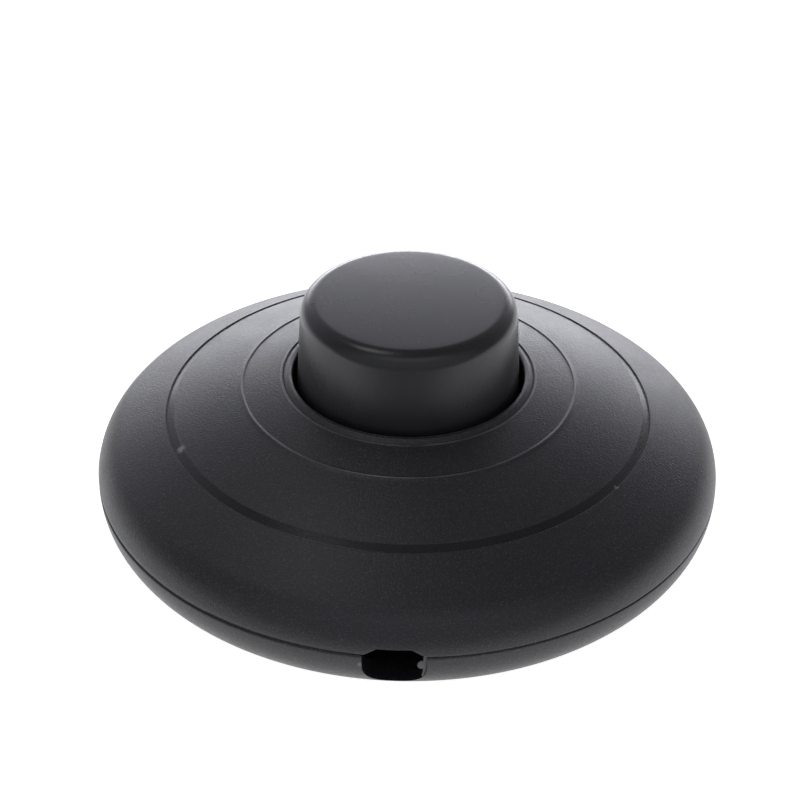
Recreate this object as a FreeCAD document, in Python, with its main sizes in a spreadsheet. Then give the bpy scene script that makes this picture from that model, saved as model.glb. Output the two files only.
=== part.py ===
import FreeCAD, Part
import math
import os
from collections import namedtuple

import Sketcher

# Driving sizes of the lamp foot switch, in millimetres, with angles in degrees.
SIZES = {
    # Housing outline
    "rim_radius": 32.0,
    "bowl_radius": 5.65,
    "shoulder_radius": 4.7,
    "dome_radius": 59.0,
    "shell_wall": 2.0,
    "floor_thickness": 1.6,
    "seam_chamfer": 0.15,
    "lip_height": 1.2,
    "lip_thickness": 0.9,
    "lip_clearance": 0.1,
    # Rings on the cover
    "outer_groove_radius": 24.75,
    "outer_groove_width": 0.85,
    "outer_groove_depth": 0.16,
    "inner_ridge_radius": 16.95,
    "inner_ridge_width": 0.6,
    "inner_ridge_height": 0.09,
    "hole_radius": 11.8,
    "hole_round": 0.25,
    "hole_lip_width": 0.45,
    "hole_lip_rise": 0.06,
    "hole_groove_width": 0.55,
    "hole_groove_depth": 0.14,
    "collar_thickness": 1.6,
    "collar_bottom": 13.0,
    # Cord outlets
    "outlet_width": 6.1,
    "outlet_floor": 1.7,
    "outlet_corner": 2.75,
    "notch_height": 0.9,
    "notch_top_width": 3.3,
    "outlet_reach": 7.2,
    # Rubber feet
    "foot_lift": 0.4,
    "foot_seat_depth": 0.5,
    "foot_radius": 3.0,
    "foot_edge_round": 0.25,
    "foot_offset": 15.5,
    "foot_clearance": 0.05,
    # Push button
    "button_radius": 11.27,
    "button_draft": 3.0,
    "button_top": 25.75,
    "button_edge_round": 1.75,
    "button_crown_radius": 120.0,
    "button_wall": 1.6,
    "button_roof": 2.0,
    "flange_radius": 13.0,
    "flange_thickness": 1.4,
    "flange_gap": 0.3,
    "spigot_radius": 4.2,
    "spigot_length": 2.5,
    "stroke": 3.8,
    # Housing screws
    "screw_offset": 22.0,
    "screw_radius": 1.45,
    "screw_head_radius": 2.7,
    "screw_head_height": 1.7,
    "screw_recess": 2.4,
    "screw_clearance": 0.15,
    "thread_clearance": 0.05,
    "boss_radius": 4.0,
    "cover_boss_radius": 3.2,
    "boss_top": 7.2,
    "screw_bite": 3.6,
    # Contact block
    "block_length": 35.0,
    "block_width": 28.6,
    "block_corner": 2.0,
    "block_thickness": 1.5,
    "barrel_bore": 7.2,
    "barrel_wall": 1.5,
    "barrel_top": 14.5,
    "post_radius": 1.0,
    "post_offset": 12.9,
    "post_top": 12.5,
    "post_clearance": 0.25,
    "window_height": 1.7,
    "window_clearance": 0.2,
    "thrust_radius": 2.9,
    "peg_radius": 1.0,
    "peg_x": 14.6,
    "peg_y": 11.4,
    "peg_height": 2.1,
    "peg_clearance": 0.05,
    # Rotor and plunger
    "tooth_count": 8.0,
    "tooth_backlash": 2.0,
    "tooth_clearance": 0.25,
    "rotor_clearance": 0.3,
    "rotor_disc": 1.8,
    "rotor_hub_radius": 3.7,
    "rotor_hub_rise": 0.6,
    "pin_radius": 1.4,
    "pin_clearance": 0.06,
    "pin_length": 10.0,
    "pin_foot_radius": 2.3,
    "pin_foot_height": 0.6,
    "plunger_bore": 4.3,
    "tooth_inner_radius": 4.6,
    # Contacts and terminals
    "strip_width": 3.0,
    "strip_thickness": 0.6,
    "strip_offset": 4.0,
    "strip_start": 16.9,
    "strip_end": 2.4,
    "tip_radius": 1.2,
    "tip_height": 0.3,
    "contact_gap": 0.1,
    "cross_thickness": 0.4,
    "cross_arm_width": 2.6,
    "cross_arm_radius": 6.5,
    "terminal_x": 13.8,
    "terminal_screw_radius": 1.3,
    "terminal_head_radius": 2.3,
    "terminal_head_height": 1.5,
    "washer_side": 4.8,
    "washer_thickness": 0.6,
    "link_width": 5.0,
    "link_length": 14.0,
    "slot_width": 0.7,
    "slot_depth": 0.7,
    # Cord clamps
    "clamp_inset": 9.6,
    "clamp_pitch": 10.8,
    "clamp_length": 15.2,
    "clamp_width": 4.8,
    "clamp_thickness": 2.2,
    "clamp_ridge": 0.5,
    "pillar_radius": 2.2,
    "pillar_top": 5.4,
    "clamp_screw_radius": 1.2,
    "clamp_head_radius": 2.1,
    "clamp_head_height": 1.3,
    "cord_rib_height": 0.5,
    "cord_rib_width": 1.0,
    "cord_rib_length": 5.2,
    # Springs
    "return_wire": 0.8,
    "return_turns": 4.5,
    "rotor_wire": 0.5,
    "rotor_spring_radius": 3.0,
    "rotor_turns": 8.0,
}

Line = namedtuple("Line", "x y")
Arc = namedtuple("Arc", "x y centre_x centre_y radius")

doc = FreeCAD.newDocument("lamp_foot_switch")
sheet = doc.addObject("Spreadsheet::Sheet", "Sizes")
for row, (alias, number) in enumerate(SIZES.items(), start=1):
    sheet.set(f"A{row}", alias)
    sheet.set(f"B{row}", str(number))
    sheet.setAlias(f"B{row}", alias)
doc.recompute()


class Formula:
    """A value worked out from the sheet, kept with the expression that binds it."""

    def __init__(self, value, text):
        self.value = float(value)
        self.text = text

    def __add__(self, other):
        other = formula(other)
        return Formula(self.value + other.value, f"({self.text} + {other.text})")

    def __radd__(self, other):
        return formula(other) + self

    def __sub__(self, other):
        other = formula(other)
        return Formula(self.value - other.value, f"({self.text} - {other.text})")

    def __rsub__(self, other):
        return formula(other) - self

    def __mul__(self, other):
        other = formula(other)
        return Formula(self.value * other.value, f"({self.text} * {other.text})")

    def __rmul__(self, other):
        return formula(other) * self

    def __truediv__(self, other):
        other = formula(other)
        return Formula(self.value / other.value, f"({self.text} / {other.text})")

    def __rtruediv__(self, other):
        return formula(other) / self

    def __neg__(self):
        return Formula(-self.value, f"(0 - {self.text})")


def formula(item):
    """Return a Formula for a plain number, and any Formula unchanged."""
    if isinstance(item, Formula):
        return item
    return Formula(item, f"({float(item)})")


def size(alias):
    """Return the sheet's cell with this alias as a Formula."""
    return Formula(sheet.get(alias), f"Sizes.{alias}")


def root(item):
    """Return the square root of a Formula."""
    return Formula(math.sqrt(item.value), f"sqrt({item.text})")


def sine(item):
    """Return the sine of a Formula that holds degrees."""
    return Formula(math.sin(math.radians(item.value)), f"sin({item.text})")


def cosine(item):
    """Return the cosine of a Formula that holds degrees."""
    return Formula(math.cos(math.radians(item.value)), f"cos({item.text})")


def tangent(item):
    """Return the tangent of a Formula that holds degrees."""
    return Formula(math.tan(math.radians(item.value)), f"tan({item.text})")


def new_body(name):
    """Add an empty PartDesign body to the document."""
    body = doc.addObject("PartDesign::Body", name)
    body.Label = name
    return body


def new_sketch(body, name, role, offset=None):
    """Attach a sketch to one of the body's own origin planes, moved along its normal."""
    plane = next(item for item in body.Origin.OriginFeatures if item.Role == role)
    sketch = body.newObject("Sketcher::SketchObject", name)
    sketch.AttachmentSupport = [(plane, "")]
    sketch.MapMode = "FlatFace"
    if offset is not None:
        sketch.AttachmentOffset = FreeCAD.Placement(FreeCAD.Vector(0, 0, offset.value), FreeCAD.Rotation())
        sketch.setExpression("AttachmentOffset.Base.z", offset.text)
    return sketch


def pin_point(sketch, index, mark, x, y):
    """Bind one point of a sketch element to its two coordinates."""
    for kind, axis, coordinate in (("DistanceX", -2, x), ("DistanceY", -1, y)):
        if not isinstance(coordinate, Formula):
            sketch.addConstraint(Sketcher.Constraint("PointOnObject", index, mark, axis))
            continue
        rule = Sketcher.Constraint(kind, -1, 1, index, mark, coordinate.value)
        number = sketch.addConstraint(rule)
        sketch.setExpression(f"Constraints[{number}]", coordinate.text)


def bind_radius(sketch, index, radius):
    """Bind the radius of a circle or arc."""
    number = sketch.addConstraint(Sketcher.Constraint("Radius", index, radius.value))
    sketch.setExpression(f"Constraints[{number}]", radius.text)


def point(x, y):
    """Return a sketch point from two coordinates that may be Formulas."""
    return FreeCAD.Vector(formula(x).value, formula(y).value, 0)


def draw_path(sketch, steps):
    """Draw a closed path whose corners and arcs are bound to the sheet; 0 lies on an axis."""
    links = []
    here = steps[-1]
    for step in steps:
        begin = point(here.x, here.y)
        end = point(step.x, step.y)
        marks = (1, 2)
        shape = None
        if isinstance(step, Arc):
            centre = point(step.centre_x, step.centre_y)
            circle = Part.Circle(centre, FreeCAD.Vector(0, 0, 1), step.radius.value)
            first = math.atan2(begin.y - centre.y, begin.x - centre.x)
            last = math.atan2(end.y - centre.y, end.x - centre.x)
            turn = (last - first + math.pi) % (2 * math.pi) - math.pi
            if turn > 0:
                shape = Part.ArcOfCircle(circle, first, first + turn)
            else:
                shape = Part.ArcOfCircle(circle, last, last - turn)
                marks = (2, 1)
        else:
            shape = Part.LineSegment(begin, end)
        links.append((sketch.addGeometry(shape), marks))
        here = step
    for position, step in enumerate(steps):
        index, marks = links[position]
        next_index, next_marks = links[(position + 1) % len(links)]
        sketch.addConstraint(Sketcher.Constraint("Coincident", index, marks[1], next_index, next_marks[0]))
        pin_point(sketch, index, marks[1], step.x, step.y)
        if isinstance(step, Arc):
            bind_radius(sketch, index, step.radius)


def draw_circle(sketch, x, y, radius):
    """Draw a circle whose centre and radius are bound to the sheet."""
    circle = Part.Circle(point(x, y), FreeCAD.Vector(0, 0, 1), radius.value)
    index = sketch.addGeometry(circle)
    pin_point(sketch, index, 3, x, y)
    bind_radius(sketch, index, radius)


def draw_box(sketch, left, right, low, high):
    """Draw a rectangle from its four sides."""
    draw_path(sketch, [Line(right, low), Line(right, high), Line(left, high), Line(left, low)])


def revolve(body, sketch, name):
    """Turn a half section round the vertical axis."""
    feature = body.newObject("PartDesign::Revolution", name)
    feature.Profile = sketch
    feature.ReferenceAxis = (sketch, ["V_Axis"])
    feature.Angle = 360.0
    return feature


def pad(body, sketch, name, length):
    """Raise a sketch along its normal."""
    feature = body.newObject("PartDesign::Pad", name)
    feature.Profile = sketch
    feature.Length = length.value
    feature.setExpression("Length", length.text)
    return feature


def pocket(body, sketch, name, depth, along_normal=False):
    """Cut a sketch into the body, against its normal or along it."""
    feature = body.newObject("PartDesign::Pocket", name)
    feature.Profile = sketch
    feature.Reversed = along_normal
    feature.Length = depth.value
    feature.setExpression("Length", depth.text)
    return feature


def place(item, x=0, y=0, z=0):
    """Put a Part object at a bound position."""
    spot = (formula(x), formula(y), formula(z))
    item.Placement = FreeCAD.Placement(FreeCAD.Vector(*(part.value for part in spot)), FreeCAD.Rotation())
    for axis, part in zip("xyz", spot):
        item.setExpression(f"Placement.Base.{axis}", part.text)


def cylinder(name, radius, low, height, x=0, y=0):
    """Add a bound upright cylinder."""
    item = doc.addObject("Part::Cylinder", name)
    item.setExpression("Radius", radius.text)
    item.setExpression("Height", height.text)
    place(item, x, y, low)
    return item


def block(name, length, width, height, x, y, z):
    """Add a bound box that is centred on x and y and stands on z."""
    item = doc.addObject("Part::Box", name)
    item.setExpression("Length", formula(length).text)
    item.setExpression("Width", formula(width).text)
    item.setExpression("Height", formula(height).text)
    place(item, formula(x) - formula(length) / 2, formula(y) - formula(width) / 2, z)
    return item


def cut(name, base, tool):
    """Take one object away from another."""
    item = doc.addObject("Part::Cut", name)
    item.Base = base
    item.Tool = tool
    item.Label = name
    return item


def fuse(name, items):
    """Join objects into one solid."""
    item = doc.addObject("Part::MultiFuse", name)
    item.Shapes = items
    item.Label = name
    return item


def group(name, items):
    """Keep separate solids together under one name."""
    item = doc.addObject("Part::Compound", name)
    item.Links = items
    item.Label = name
    return item


def plain_shape(name, shape):
    """Add a shape that was worked out directly from the sheet's sizes."""
    item = doc.addObject("Part::Feature", name)
    item.Shape = shape
    item.Placement = FreeCAD.Placement()
    item.Label = name
    return item


# Heights and radii that several pieces share
rim = size("rim_radius")
wall = size("shell_wall")
seam = size("seam_chamfer")
bowl = size("bowl_radius")
floor = size("floor_thickness")
shoulder = size("shoulder_radius")
dome = size("dome_radius")
parting = bowl + seam
inner_radius = rim - wall
lip_outer = inner_radius + size("lip_thickness")
lip_top = parting + size("lip_height")
shoulder_x = rim - shoulder
shoulder_z = parting + seam
dome_z = shoulder_z - root((dome - shoulder) * (dome - shoulder) - shoulder_x * shoulder_x)
stroke = size("stroke")
screw_x = size("screw_offset")
boss_top = size("boss_top")
plate_top = floor + size("block_thickness")
strip_top = plate_top + size("strip_thickness")
tip_top = strip_top + size("tip_height")
cross_low = tip_top + size("contact_gap")
rotor_low = cross_low + size("cross_thickness")
tooth_root = rotor_low + size("rotor_disc")
tooth_tip = tooth_root + stroke
plunger_tip = tooth_tip + size("tooth_clearance")
plunger_root = plunger_tip + stroke
ceiling = size("button_top") - size("button_roof")
spigot_end = ceiling - size("spigot_length")
barrel_outer = size("barrel_bore") + size("barrel_wall")
rotor_radius = size("barrel_bore") - size("rotor_clearance")
hub_top = tooth_root + size("rotor_hub_rise")
washer_top = strip_top + size("washer_thickness")
terminal_y = size("strip_offset")
terminal_x = size("terminal_x")
clamp_x = size("clamp_pitch") / 2
clamp_y = rim - size("clamp_inset")
pillar_top = size("pillar_top")
clamp_top = pillar_top + size("clamp_thickness")
outlet_half = size("outlet_width") / 2
foot_lift = size("foot_lift")
foot_top = foot_lift + size("foot_seat_depth")
foot_spot = size("foot_offset")
SIDES = (("front", -1), ("rear", 1))


def dome_height(radius):
    """Return the height of the cover's outer dome at a radius."""
    return dome_z + root(dome * dome - radius * radius)


def build_base_shell():
    """Model the bowl-shaped base with its lip, bosses, pillars, pegs and outlets."""
    body = new_body("base_shell")
    bend_x = rim - bowl
    bend_rise = bowl - foot_lift
    flat_x = bend_x + root(bowl * bowl - bend_rise * bend_rise)
    inner_round = bowl - floor
    inner_foot = inner_radius - inner_round
    section = new_sketch(body, "bowl_section", "XZ_Plane")
    draw_path(section, [
        Line(0, foot_lift),
        Line(flat_x, foot_lift),
        Arc(rim, bowl, bend_x, bowl, bowl),
        Line(rim - seam, parting),
        Line(lip_outer, parting),
        Line(lip_outer, lip_top),
        Line(inner_radius, lip_top),
        Line(inner_radius, bowl),
        Arc(inner_foot, floor, inner_foot, bowl, inner_round),
        Line(0, floor),
    ])
    revolve(body, section, "bowl")

    bosses = new_sketch(body, "boss_circles", "XY_Plane", floor)
    for side in (-1, 1):
        draw_circle(bosses, side * screw_x, 0, size("boss_radius"))
    pad(body, bosses, "screw_bosses", boss_top - floor)

    pillars = new_sketch(body, "pillar_circles", "XY_Plane", floor)
    pegs = new_sketch(body, "peg_circles", "XY_Plane", floor)
    ribs = new_sketch(body, "rib_boxes", "XY_Plane", floor)
    rib_half = size("cord_rib_length") / 2
    rib_side = size("cord_rib_width") / 2
    for _, way in SIDES:
        for side in (-1, 1):
            draw_circle(pillars, side * clamp_x, way * clamp_y, size("pillar_radius"))
            draw_circle(pegs, side * size("peg_x"), way * size("peg_y"), size("peg_radius"))
        draw_box(ribs, -rib_half, rib_half, way * clamp_y - rib_side, way * clamp_y + rib_side)
    pad(body, pillars, "clamp_pillars", pillar_top - floor)
    pad(body, pegs, "locating_pegs", size("peg_height"))
    pad(body, ribs, "cord_ribs", size("cord_rib_height"))

    pilots = new_sketch(body, "pilot_circles", "XY_Plane", pillar_top)
    for _, way in SIDES:
        for side in (-1, 1):
            pilot = size("clamp_screw_radius") + size("thread_clearance")
            draw_circle(pilots, side * clamp_x, way * clamp_y, pilot)
    pocket(body, pilots, "pillar_pilots", pillar_top - floor)

    recesses = new_sketch(body, "recess_circles", "XY_Plane")
    holes = new_sketch(body, "hole_circles", "XY_Plane")
    for side in (-1, 1):
        draw_circle(recesses, side * screw_x, 0, size("screw_head_radius") + size("screw_clearance"))
        draw_circle(holes, side * screw_x, 0, size("screw_radius") + size("screw_clearance"))
    pocket(body, recesses, "screw_recesses", size("screw_recess"), along_normal=True)
    pocket(body, holes, "screw_holes", boss_top + 1, along_normal=True)

    seats = new_sketch(body, "foot_seat_circles", "XY_Plane")
    for _, way in SIDES:
        for side in (-1, 1):
            seat_radius = size("foot_radius") + size("foot_clearance")
            draw_circle(seats, side * foot_spot, way * foot_spot, seat_radius)
    pocket(body, seats, "foot_seats", foot_top, along_normal=True)

    corner = size("outlet_corner")
    low = size("outlet_floor")
    high = lip_top + 1
    start = rim + 1
    for name, way in SIDES:
        outline = new_sketch(body, f"{name}_outlet_outline", "XZ_Plane", -way * start)
        draw_path(outline, [
            Line(-outlet_half, high),
            Line(-outlet_half, low + corner),
            Arc(corner - outlet_half, low, corner - outlet_half, low + corner, corner),
            Line(outlet_half - corner, low),
            Arc(outlet_half, low + corner, outlet_half - corner, low + corner, corner),
            Line(outlet_half, high),
        ])
        pocket(body, outline, f"{name}_outlet", size("outlet_reach"), along_normal=way > 0)
    return body


def build_foot_pads():
    """Model the four rubber feet that sit in shallow seats under the base."""
    feet = []
    radius = size("foot_radius")
    edge = size("foot_edge_round")
    for name, way in SIDES:
        for word, side in (("left", -1), ("right", 1)):
            foot = new_body(f"{name}_{word}_foot")
            section = new_sketch(foot, f"{name}_{word}_foot_section", "XZ_Plane")
            draw_path(section, [
                Line(0, 0),
                Line(radius - edge, 0),
                Arc(radius, edge, radius - edge, edge, edge),
                Line(radius, foot_top),
                Line(0, foot_top),
            ])
            revolve(foot, section, f"{name}_{word}_foot_form")
            place(foot, side * foot_spot, way * foot_spot)
            feet.append(foot)
    return group("foot_pads", feet)


def groove_steps(radius, width, depth):
    """Return the path over a ring groove, from its steep outer wall in to its inner end."""
    return [
        Arc(radius, dome_height(radius), 0, dome_z, dome),
        Line(radius, dome_height(radius) - depth),
        Line(radius - width, dome_height(radius - width)),
    ]


def ridge_steps(radius, width, height):
    """Return the path over a low ring ridge, from its gentle outer side in to its steep inner side."""
    start = radius + width * 0.7
    end = radius - width * 0.3
    return [
        Arc(start, dome_height(start), 0, dome_z, dome),
        Line(radius, dome_height(radius) + height),
        Line(end, dome_height(end)),
    ]


def build_top_cover():
    """Model the domed cover with its ring groove and ridge, button collar, bosses and outlet notches."""
    body = new_body("top_cover")
    reach = dome - shoulder
    tangent_x = shoulder_x * dome / reach
    tangent_z = dome_z + (shoulder_z - dome_z) * dome / reach
    inner_dome = dome - wall
    inner_shoulder = shoulder - wall
    inner_tangent_x = shoulder_x * inner_dome / reach
    inner_tangent_z = dome_z + (shoulder_z - dome_z) * inner_dome / reach
    ledge_z = lip_top + size("lip_clearance")
    ledge_rise = ledge_z - shoulder_z
    ledge_x = shoulder_x + root(inner_shoulder * inner_shoulder - ledge_rise * ledge_rise)
    rebate = lip_outer + size("lip_clearance")
    hole = size("hole_radius")
    hole_round = size("hole_round")
    lip_edge = hole + size("hole_lip_width")
    groove_edge = lip_edge + size("hole_groove_width")
    hole_top = dome_height(hole) + size("hole_lip_rise")
    collar = hole + size("collar_thickness")
    collar_low = size("collar_bottom")
    collar_high = dome_z + root(inner_dome * inner_dome - collar * collar)
    middle_dome = dome - wall / 2
    apex = dome_z + dome

    bosses = new_sketch(body, "cover_boss_circles", "XY_Plane", boss_top)
    for side in (-1, 1):
        draw_circle(bosses, side * screw_x, 0, size("cover_boss_radius"))
    pad(body, bosses, "cover_bosses", apex - boss_top)
    trim = new_sketch(body, "boss_trim_section", "XZ_Plane")
    trim_x = screw_x + size("cover_boss_radius") + 1
    draw_path(trim, [
        Line(0, dome_z + middle_dome),
        Arc(trim_x, dome_z + root(middle_dome * middle_dome - trim_x * trim_x), 0, dome_z, middle_dome),
        Line(trim_x, apex + 1),
        Line(0, apex + 1),
    ])
    trimming = body.newObject("PartDesign::Groove", "boss_trim")
    trimming.Profile = trim
    trimming.ReferenceAxis = (trim, ["V_Axis"])
    trimming.Angle = 360.0

    section = new_sketch(body, "dome_section", "XZ_Plane")
    steps = [
        Line(rim - seam, parting),
        Line(rim, shoulder_z),
        Arc(tangent_x, tangent_z, shoulder_x, shoulder_z, shoulder),
    ]
    steps += groove_steps(*(size(f"outer_groove_{word}") for word in ("radius", "width", "depth")))
    steps += ridge_steps(*(size(f"inner_ridge_{word}") for word in ("radius", "width", "height")))
    steps += [
        Arc(groove_edge, dome_height(groove_edge), 0, dome_z, dome),
        Line(groove_edge, dome_height(groove_edge) - size("hole_groove_depth")),
        Line(lip_edge, hole_top),
        Line(hole + hole_round, hole_top),
        Arc(hole, hole_top - hole_round, hole + hole_round, hole_top - hole_round, hole_round),
        Line(hole, collar_low),
        Line(collar, collar_low),
        Line(collar, collar_high),
        Arc(inner_tangent_x, inner_tangent_z, 0, dome_z, inner_dome),
        Arc(ledge_x, ledge_z, shoulder_x, shoulder_z, inner_shoulder),
        Line(rebate, ledge_z),
        Line(rebate, parting),
    ]
    draw_path(section, steps)
    revolve(body, section, "dome")

    pilots = new_sketch(body, "cover_pilot_circles", "XY_Plane", boss_top)
    for side in (-1, 1):
        draw_circle(pilots, side * screw_x, 0, size("screw_radius") + size("thread_clearance"))
    pocket(body, pilots, "cover_pilots", size("screw_bite") + 0.4, along_normal=True)

    top_half = size("notch_top_width") / 2
    start = rim + 1
    for name, way in SIDES:
        outline = new_sketch(body, f"{name}_notch_outline", "XZ_Plane", -way * start)
        draw_path(outline, [
            Line(-outlet_half, parting - 1),
            Line(outlet_half, parting - 1),
            Line(outlet_half, parting),
            Line(top_half, parting + size("notch_height")),
            Line(-top_half, parting + size("notch_height")),
            Line(-outlet_half, parting),
        ])
        pocket(body, outline, f"{name}_notch", size("outlet_reach"), along_normal=way > 0)
    return body


def build_button_cap():
    """Model the push button as a drafted cup with a crowned top and a retaining flange."""
    body = new_body("button_cap")
    top = size("button_top")
    crown = size("button_crown_radius")
    edge = size("button_edge_round")
    draft = size("button_draft")
    slope = tangent(draft)
    guide_z = dome_height(size("hole_radius"))
    crown_z = top - crown
    flange_top = size("collar_bottom") - size("flange_gap")
    flange_low = flange_top - size("flange_thickness")
    reach = crown - edge
    side = size("button_radius") + (guide_z - crown_z) * slope - edge / cosine(draft)
    spread = 1 + slope * slope
    rise = (side * slope + root(reach * reach * spread - side * side)) / spread
    edge_x = side - rise * slope
    edge_z = crown_z + rise
    wall_x = edge_x + edge * cosine(draft)
    wall_z = edge_z + edge * sine(draft)
    foot_x = wall_x + (wall_z - flange_top) * slope
    inset = size("button_wall") / cosine(draft)
    inner_foot = wall_x + (wall_z - flange_low) * slope - inset
    inner_head = wall_x + (wall_z - ceiling) * slope - inset
    section = new_sketch(body, "cap_section", "XZ_Plane")
    draw_path(section, [
        Line(0, top),
        Arc(edge_x * crown / reach, crown_z + rise * crown / reach, 0, crown_z, crown),
        Arc(wall_x, wall_z, edge_x, edge_z, edge),
        Line(foot_x, flange_top),
        Line(size("flange_radius"), flange_top),
        Line(size("flange_radius"), flange_low),
        Line(inner_foot, flange_low),
        Line(inner_head, ceiling),
        Line(size("spigot_radius"), ceiling),
        Line(size("spigot_radius"), spigot_end),
        Line(0, spigot_end),
    ])
    revolve(body, section, "cap")

    notches = new_sketch(body, "flange_notch_circles", "XY_Plane", flange_low)
    notch_radius = size("post_radius") + size("post_clearance")
    for way in (-1, 1):
        draw_circle(notches, 0, way * size("post_offset"), notch_radius)
    depth = size("flange_thickness") + size("post_clearance")
    pocket(body, notches, "flange_notches", depth, along_normal=True)
    return body


def build_contact_block():
    """Model the insulating plate with the guide barrel and the pockets for the contacts."""
    body = new_body("contact_block")
    half_length = size("block_length") / 2
    half_width = size("block_width") / 2
    corner = size("block_corner")
    plate = new_sketch(body, "plate_outline", "XY_Plane", floor)
    draw_path(plate, [
        Line(half_length - corner, -half_width),
        Arc(half_length, corner - half_width, half_length - corner, corner - half_width, corner),
        Line(half_length, half_width - corner),
        Arc(half_length - corner, half_width, half_length - corner, half_width - corner, corner),
        Line(corner - half_length, half_width),
        Arc(-half_length, half_width - corner, corner - half_length, half_width - corner, corner),
        Line(-half_length, corner - half_width),
        Arc(corner - half_length, -half_width, corner - half_length, corner - half_width, corner),
    ])
    pad(body, plate, "plate", size("block_thickness"))

    ring = new_sketch(body, "barrel_circles", "XY_Plane", plate_top)
    draw_circle(ring, 0, 0, barrel_outer)
    draw_circle(ring, 0, 0, size("barrel_bore"))
    pad(body, ring, "barrel", size("barrel_top") - plate_top)

    seat = new_sketch(body, "thrust_circle", "XY_Plane", plate_top)
    draw_circle(seat, 0, 0, size("thrust_radius") - size("contact_gap"))
    pad(body, seat, "thrust_seat", tip_top - plate_top)

    posts = new_sketch(body, "post_circles", "XY_Plane", plate_top)
    for way in (-1, 1):
        draw_circle(posts, 0, way * size("post_offset"), size("post_radius"))
    pad(body, posts, "guide_posts", size("post_top") - plate_top)

    centre = new_sketch(body, "pin_circle", "XY_Plane", tip_top)
    draw_circle(centre, 0, 0, size("pin_radius") + size("pin_clearance"))
    pocket(body, centre, "pin_hole", tip_top)

    foot = new_sketch(body, "pin_foot_circle", "XY_Plane", floor)
    draw_circle(foot, 0, 0, size("pin_foot_radius") + size("pin_clearance"))
    pocket(body, foot, "pin_foot_recess", size("pin_foot_height"), along_normal=True)

    window_half = size("strip_width") / 2 + size("window_clearance")
    windows = new_sketch(body, "contact_windows", "XY_Plane", plate_top)
    for way in (-1, 1):
        middle = way * terminal_y
        draw_box(windows, -barrel_outer - 1, -size("strip_end"), middle - window_half, middle + window_half)
    pocket(body, windows, "strip_windows", size("window_height"), along_normal=True)

    holes = new_sketch(body, "block_holes", "XY_Plane", plate_top)
    peg_hole = size("peg_radius") + size("peg_clearance")
    pilot = size("terminal_screw_radius") + size("thread_clearance")
    for way in (-1, 1):
        for side in (-1, 1):
            draw_circle(holes, side * size("peg_x"), way * size("peg_y"), peg_hole)
            draw_circle(holes, side * terminal_x, way * terminal_y, pilot)
    pocket(body, holes, "peg_and_screw_holes", size("block_thickness") + 1)
    return body


def ramp_teeth(low_edge, high_edge, inner, outer):
    """Return a ring of helical ramp teeth between two edges that are functions of the turn."""
    count = int(round(size("tooth_count").value))
    pitch = 360.0 / count
    span = pitch - size("tooth_backlash").value
    sections = []
    for share in (0.0, 0.5, 1.0):
        turn = math.radians(span * share)
        corners = []
        for radius, height in (
            (inner * 0.8, low_edge(span * share / pitch)),
            (outer * 1.2, low_edge(span * share / pitch)),
            (outer * 1.2, high_edge(span * share / pitch)),
            (inner * 0.8, high_edge(span * share / pitch)),
        ):
            corners.append(FreeCAD.Vector(radius * math.cos(turn), radius * math.sin(turn), height))
        sections.append(Part.makePolygon(corners + corners[:1]))
    tooth = Part.makeLoft(sections, True, True)
    box = tooth.BoundBox
    sleeve = Part.makeCylinder(outer, box.ZLength, FreeCAD.Vector(0, 0, box.ZMin))
    sleeve = sleeve.cut(Part.makeCylinder(inner, box.ZLength, FreeCAD.Vector(0, 0, box.ZMin)))
    tooth = tooth.common(sleeve)
    teeth = []
    for number in range(count):
        copy = tooth.copy()
        copy.rotate(FreeCAD.Vector(0, 0, 0), FreeCAD.Vector(0, 0, 1), number * pitch)
        teeth.append(copy)
    return Part.makeCompound(teeth)


def build_ratchet_rotor():
    """Model the ratchet wheel: a disc and hub with eight helical ramp teeth on top."""
    sink = 0.4
    teeth = ramp_teeth(
        lambda share: tooth_root.value - sink,
        lambda share: tooth_root.value + stroke.value * share,
        size("tooth_inner_radius").value,
        rotor_radius.value,
    )
    crown = plain_shape("rotor_crown", teeth)
    disc = cylinder("rotor_disc_body", rotor_radius, rotor_low, size("rotor_disc"))
    hub = cylinder("rotor_hub", size("rotor_hub_radius"), rotor_low, hub_top - rotor_low)
    solid = fuse("rotor_solid", [disc, hub, crown])
    bore_radius = size("pin_radius") + size("pin_clearance")
    bore = cylinder("rotor_bore", bore_radius, rotor_low - 1, hub_top - rotor_low + 2)
    return cut("ratchet_rotor", solid, bore)


def build_drive_plunger():
    """Model the plunger: a sleeve with ramp teeth that face down."""
    sink = 0.4
    teeth = ramp_teeth(
        lambda share: plunger_tip.value + stroke.value * share,
        lambda share: plunger_root.value + sink,
        size("tooth_inner_radius").value,
        rotor_radius.value,
    )
    crown = plain_shape("plunger_crown", teeth)
    sleeve = cylinder("plunger_sleeve", rotor_radius, plunger_root, ceiling - plunger_root)
    solid = fuse("plunger_solid", [sleeve, crown])
    bore = cylinder("plunger_hollow", size("plunger_bore"), plunger_tip - 1, ceiling - plunger_tip + 2)
    return cut("drive_plunger", solid, bore)


def build_pivot_pin():
    """Model the steel pin that the rotor turns on, with its foot under the block."""
    shank = cylinder("pin_shank", size("pin_radius"), floor, size("pin_length"))
    foot = cylinder("pin_foot", size("pin_foot_radius"), floor, size("pin_foot_height"))
    return fuse("pivot_pin", [shank, foot])


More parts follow.
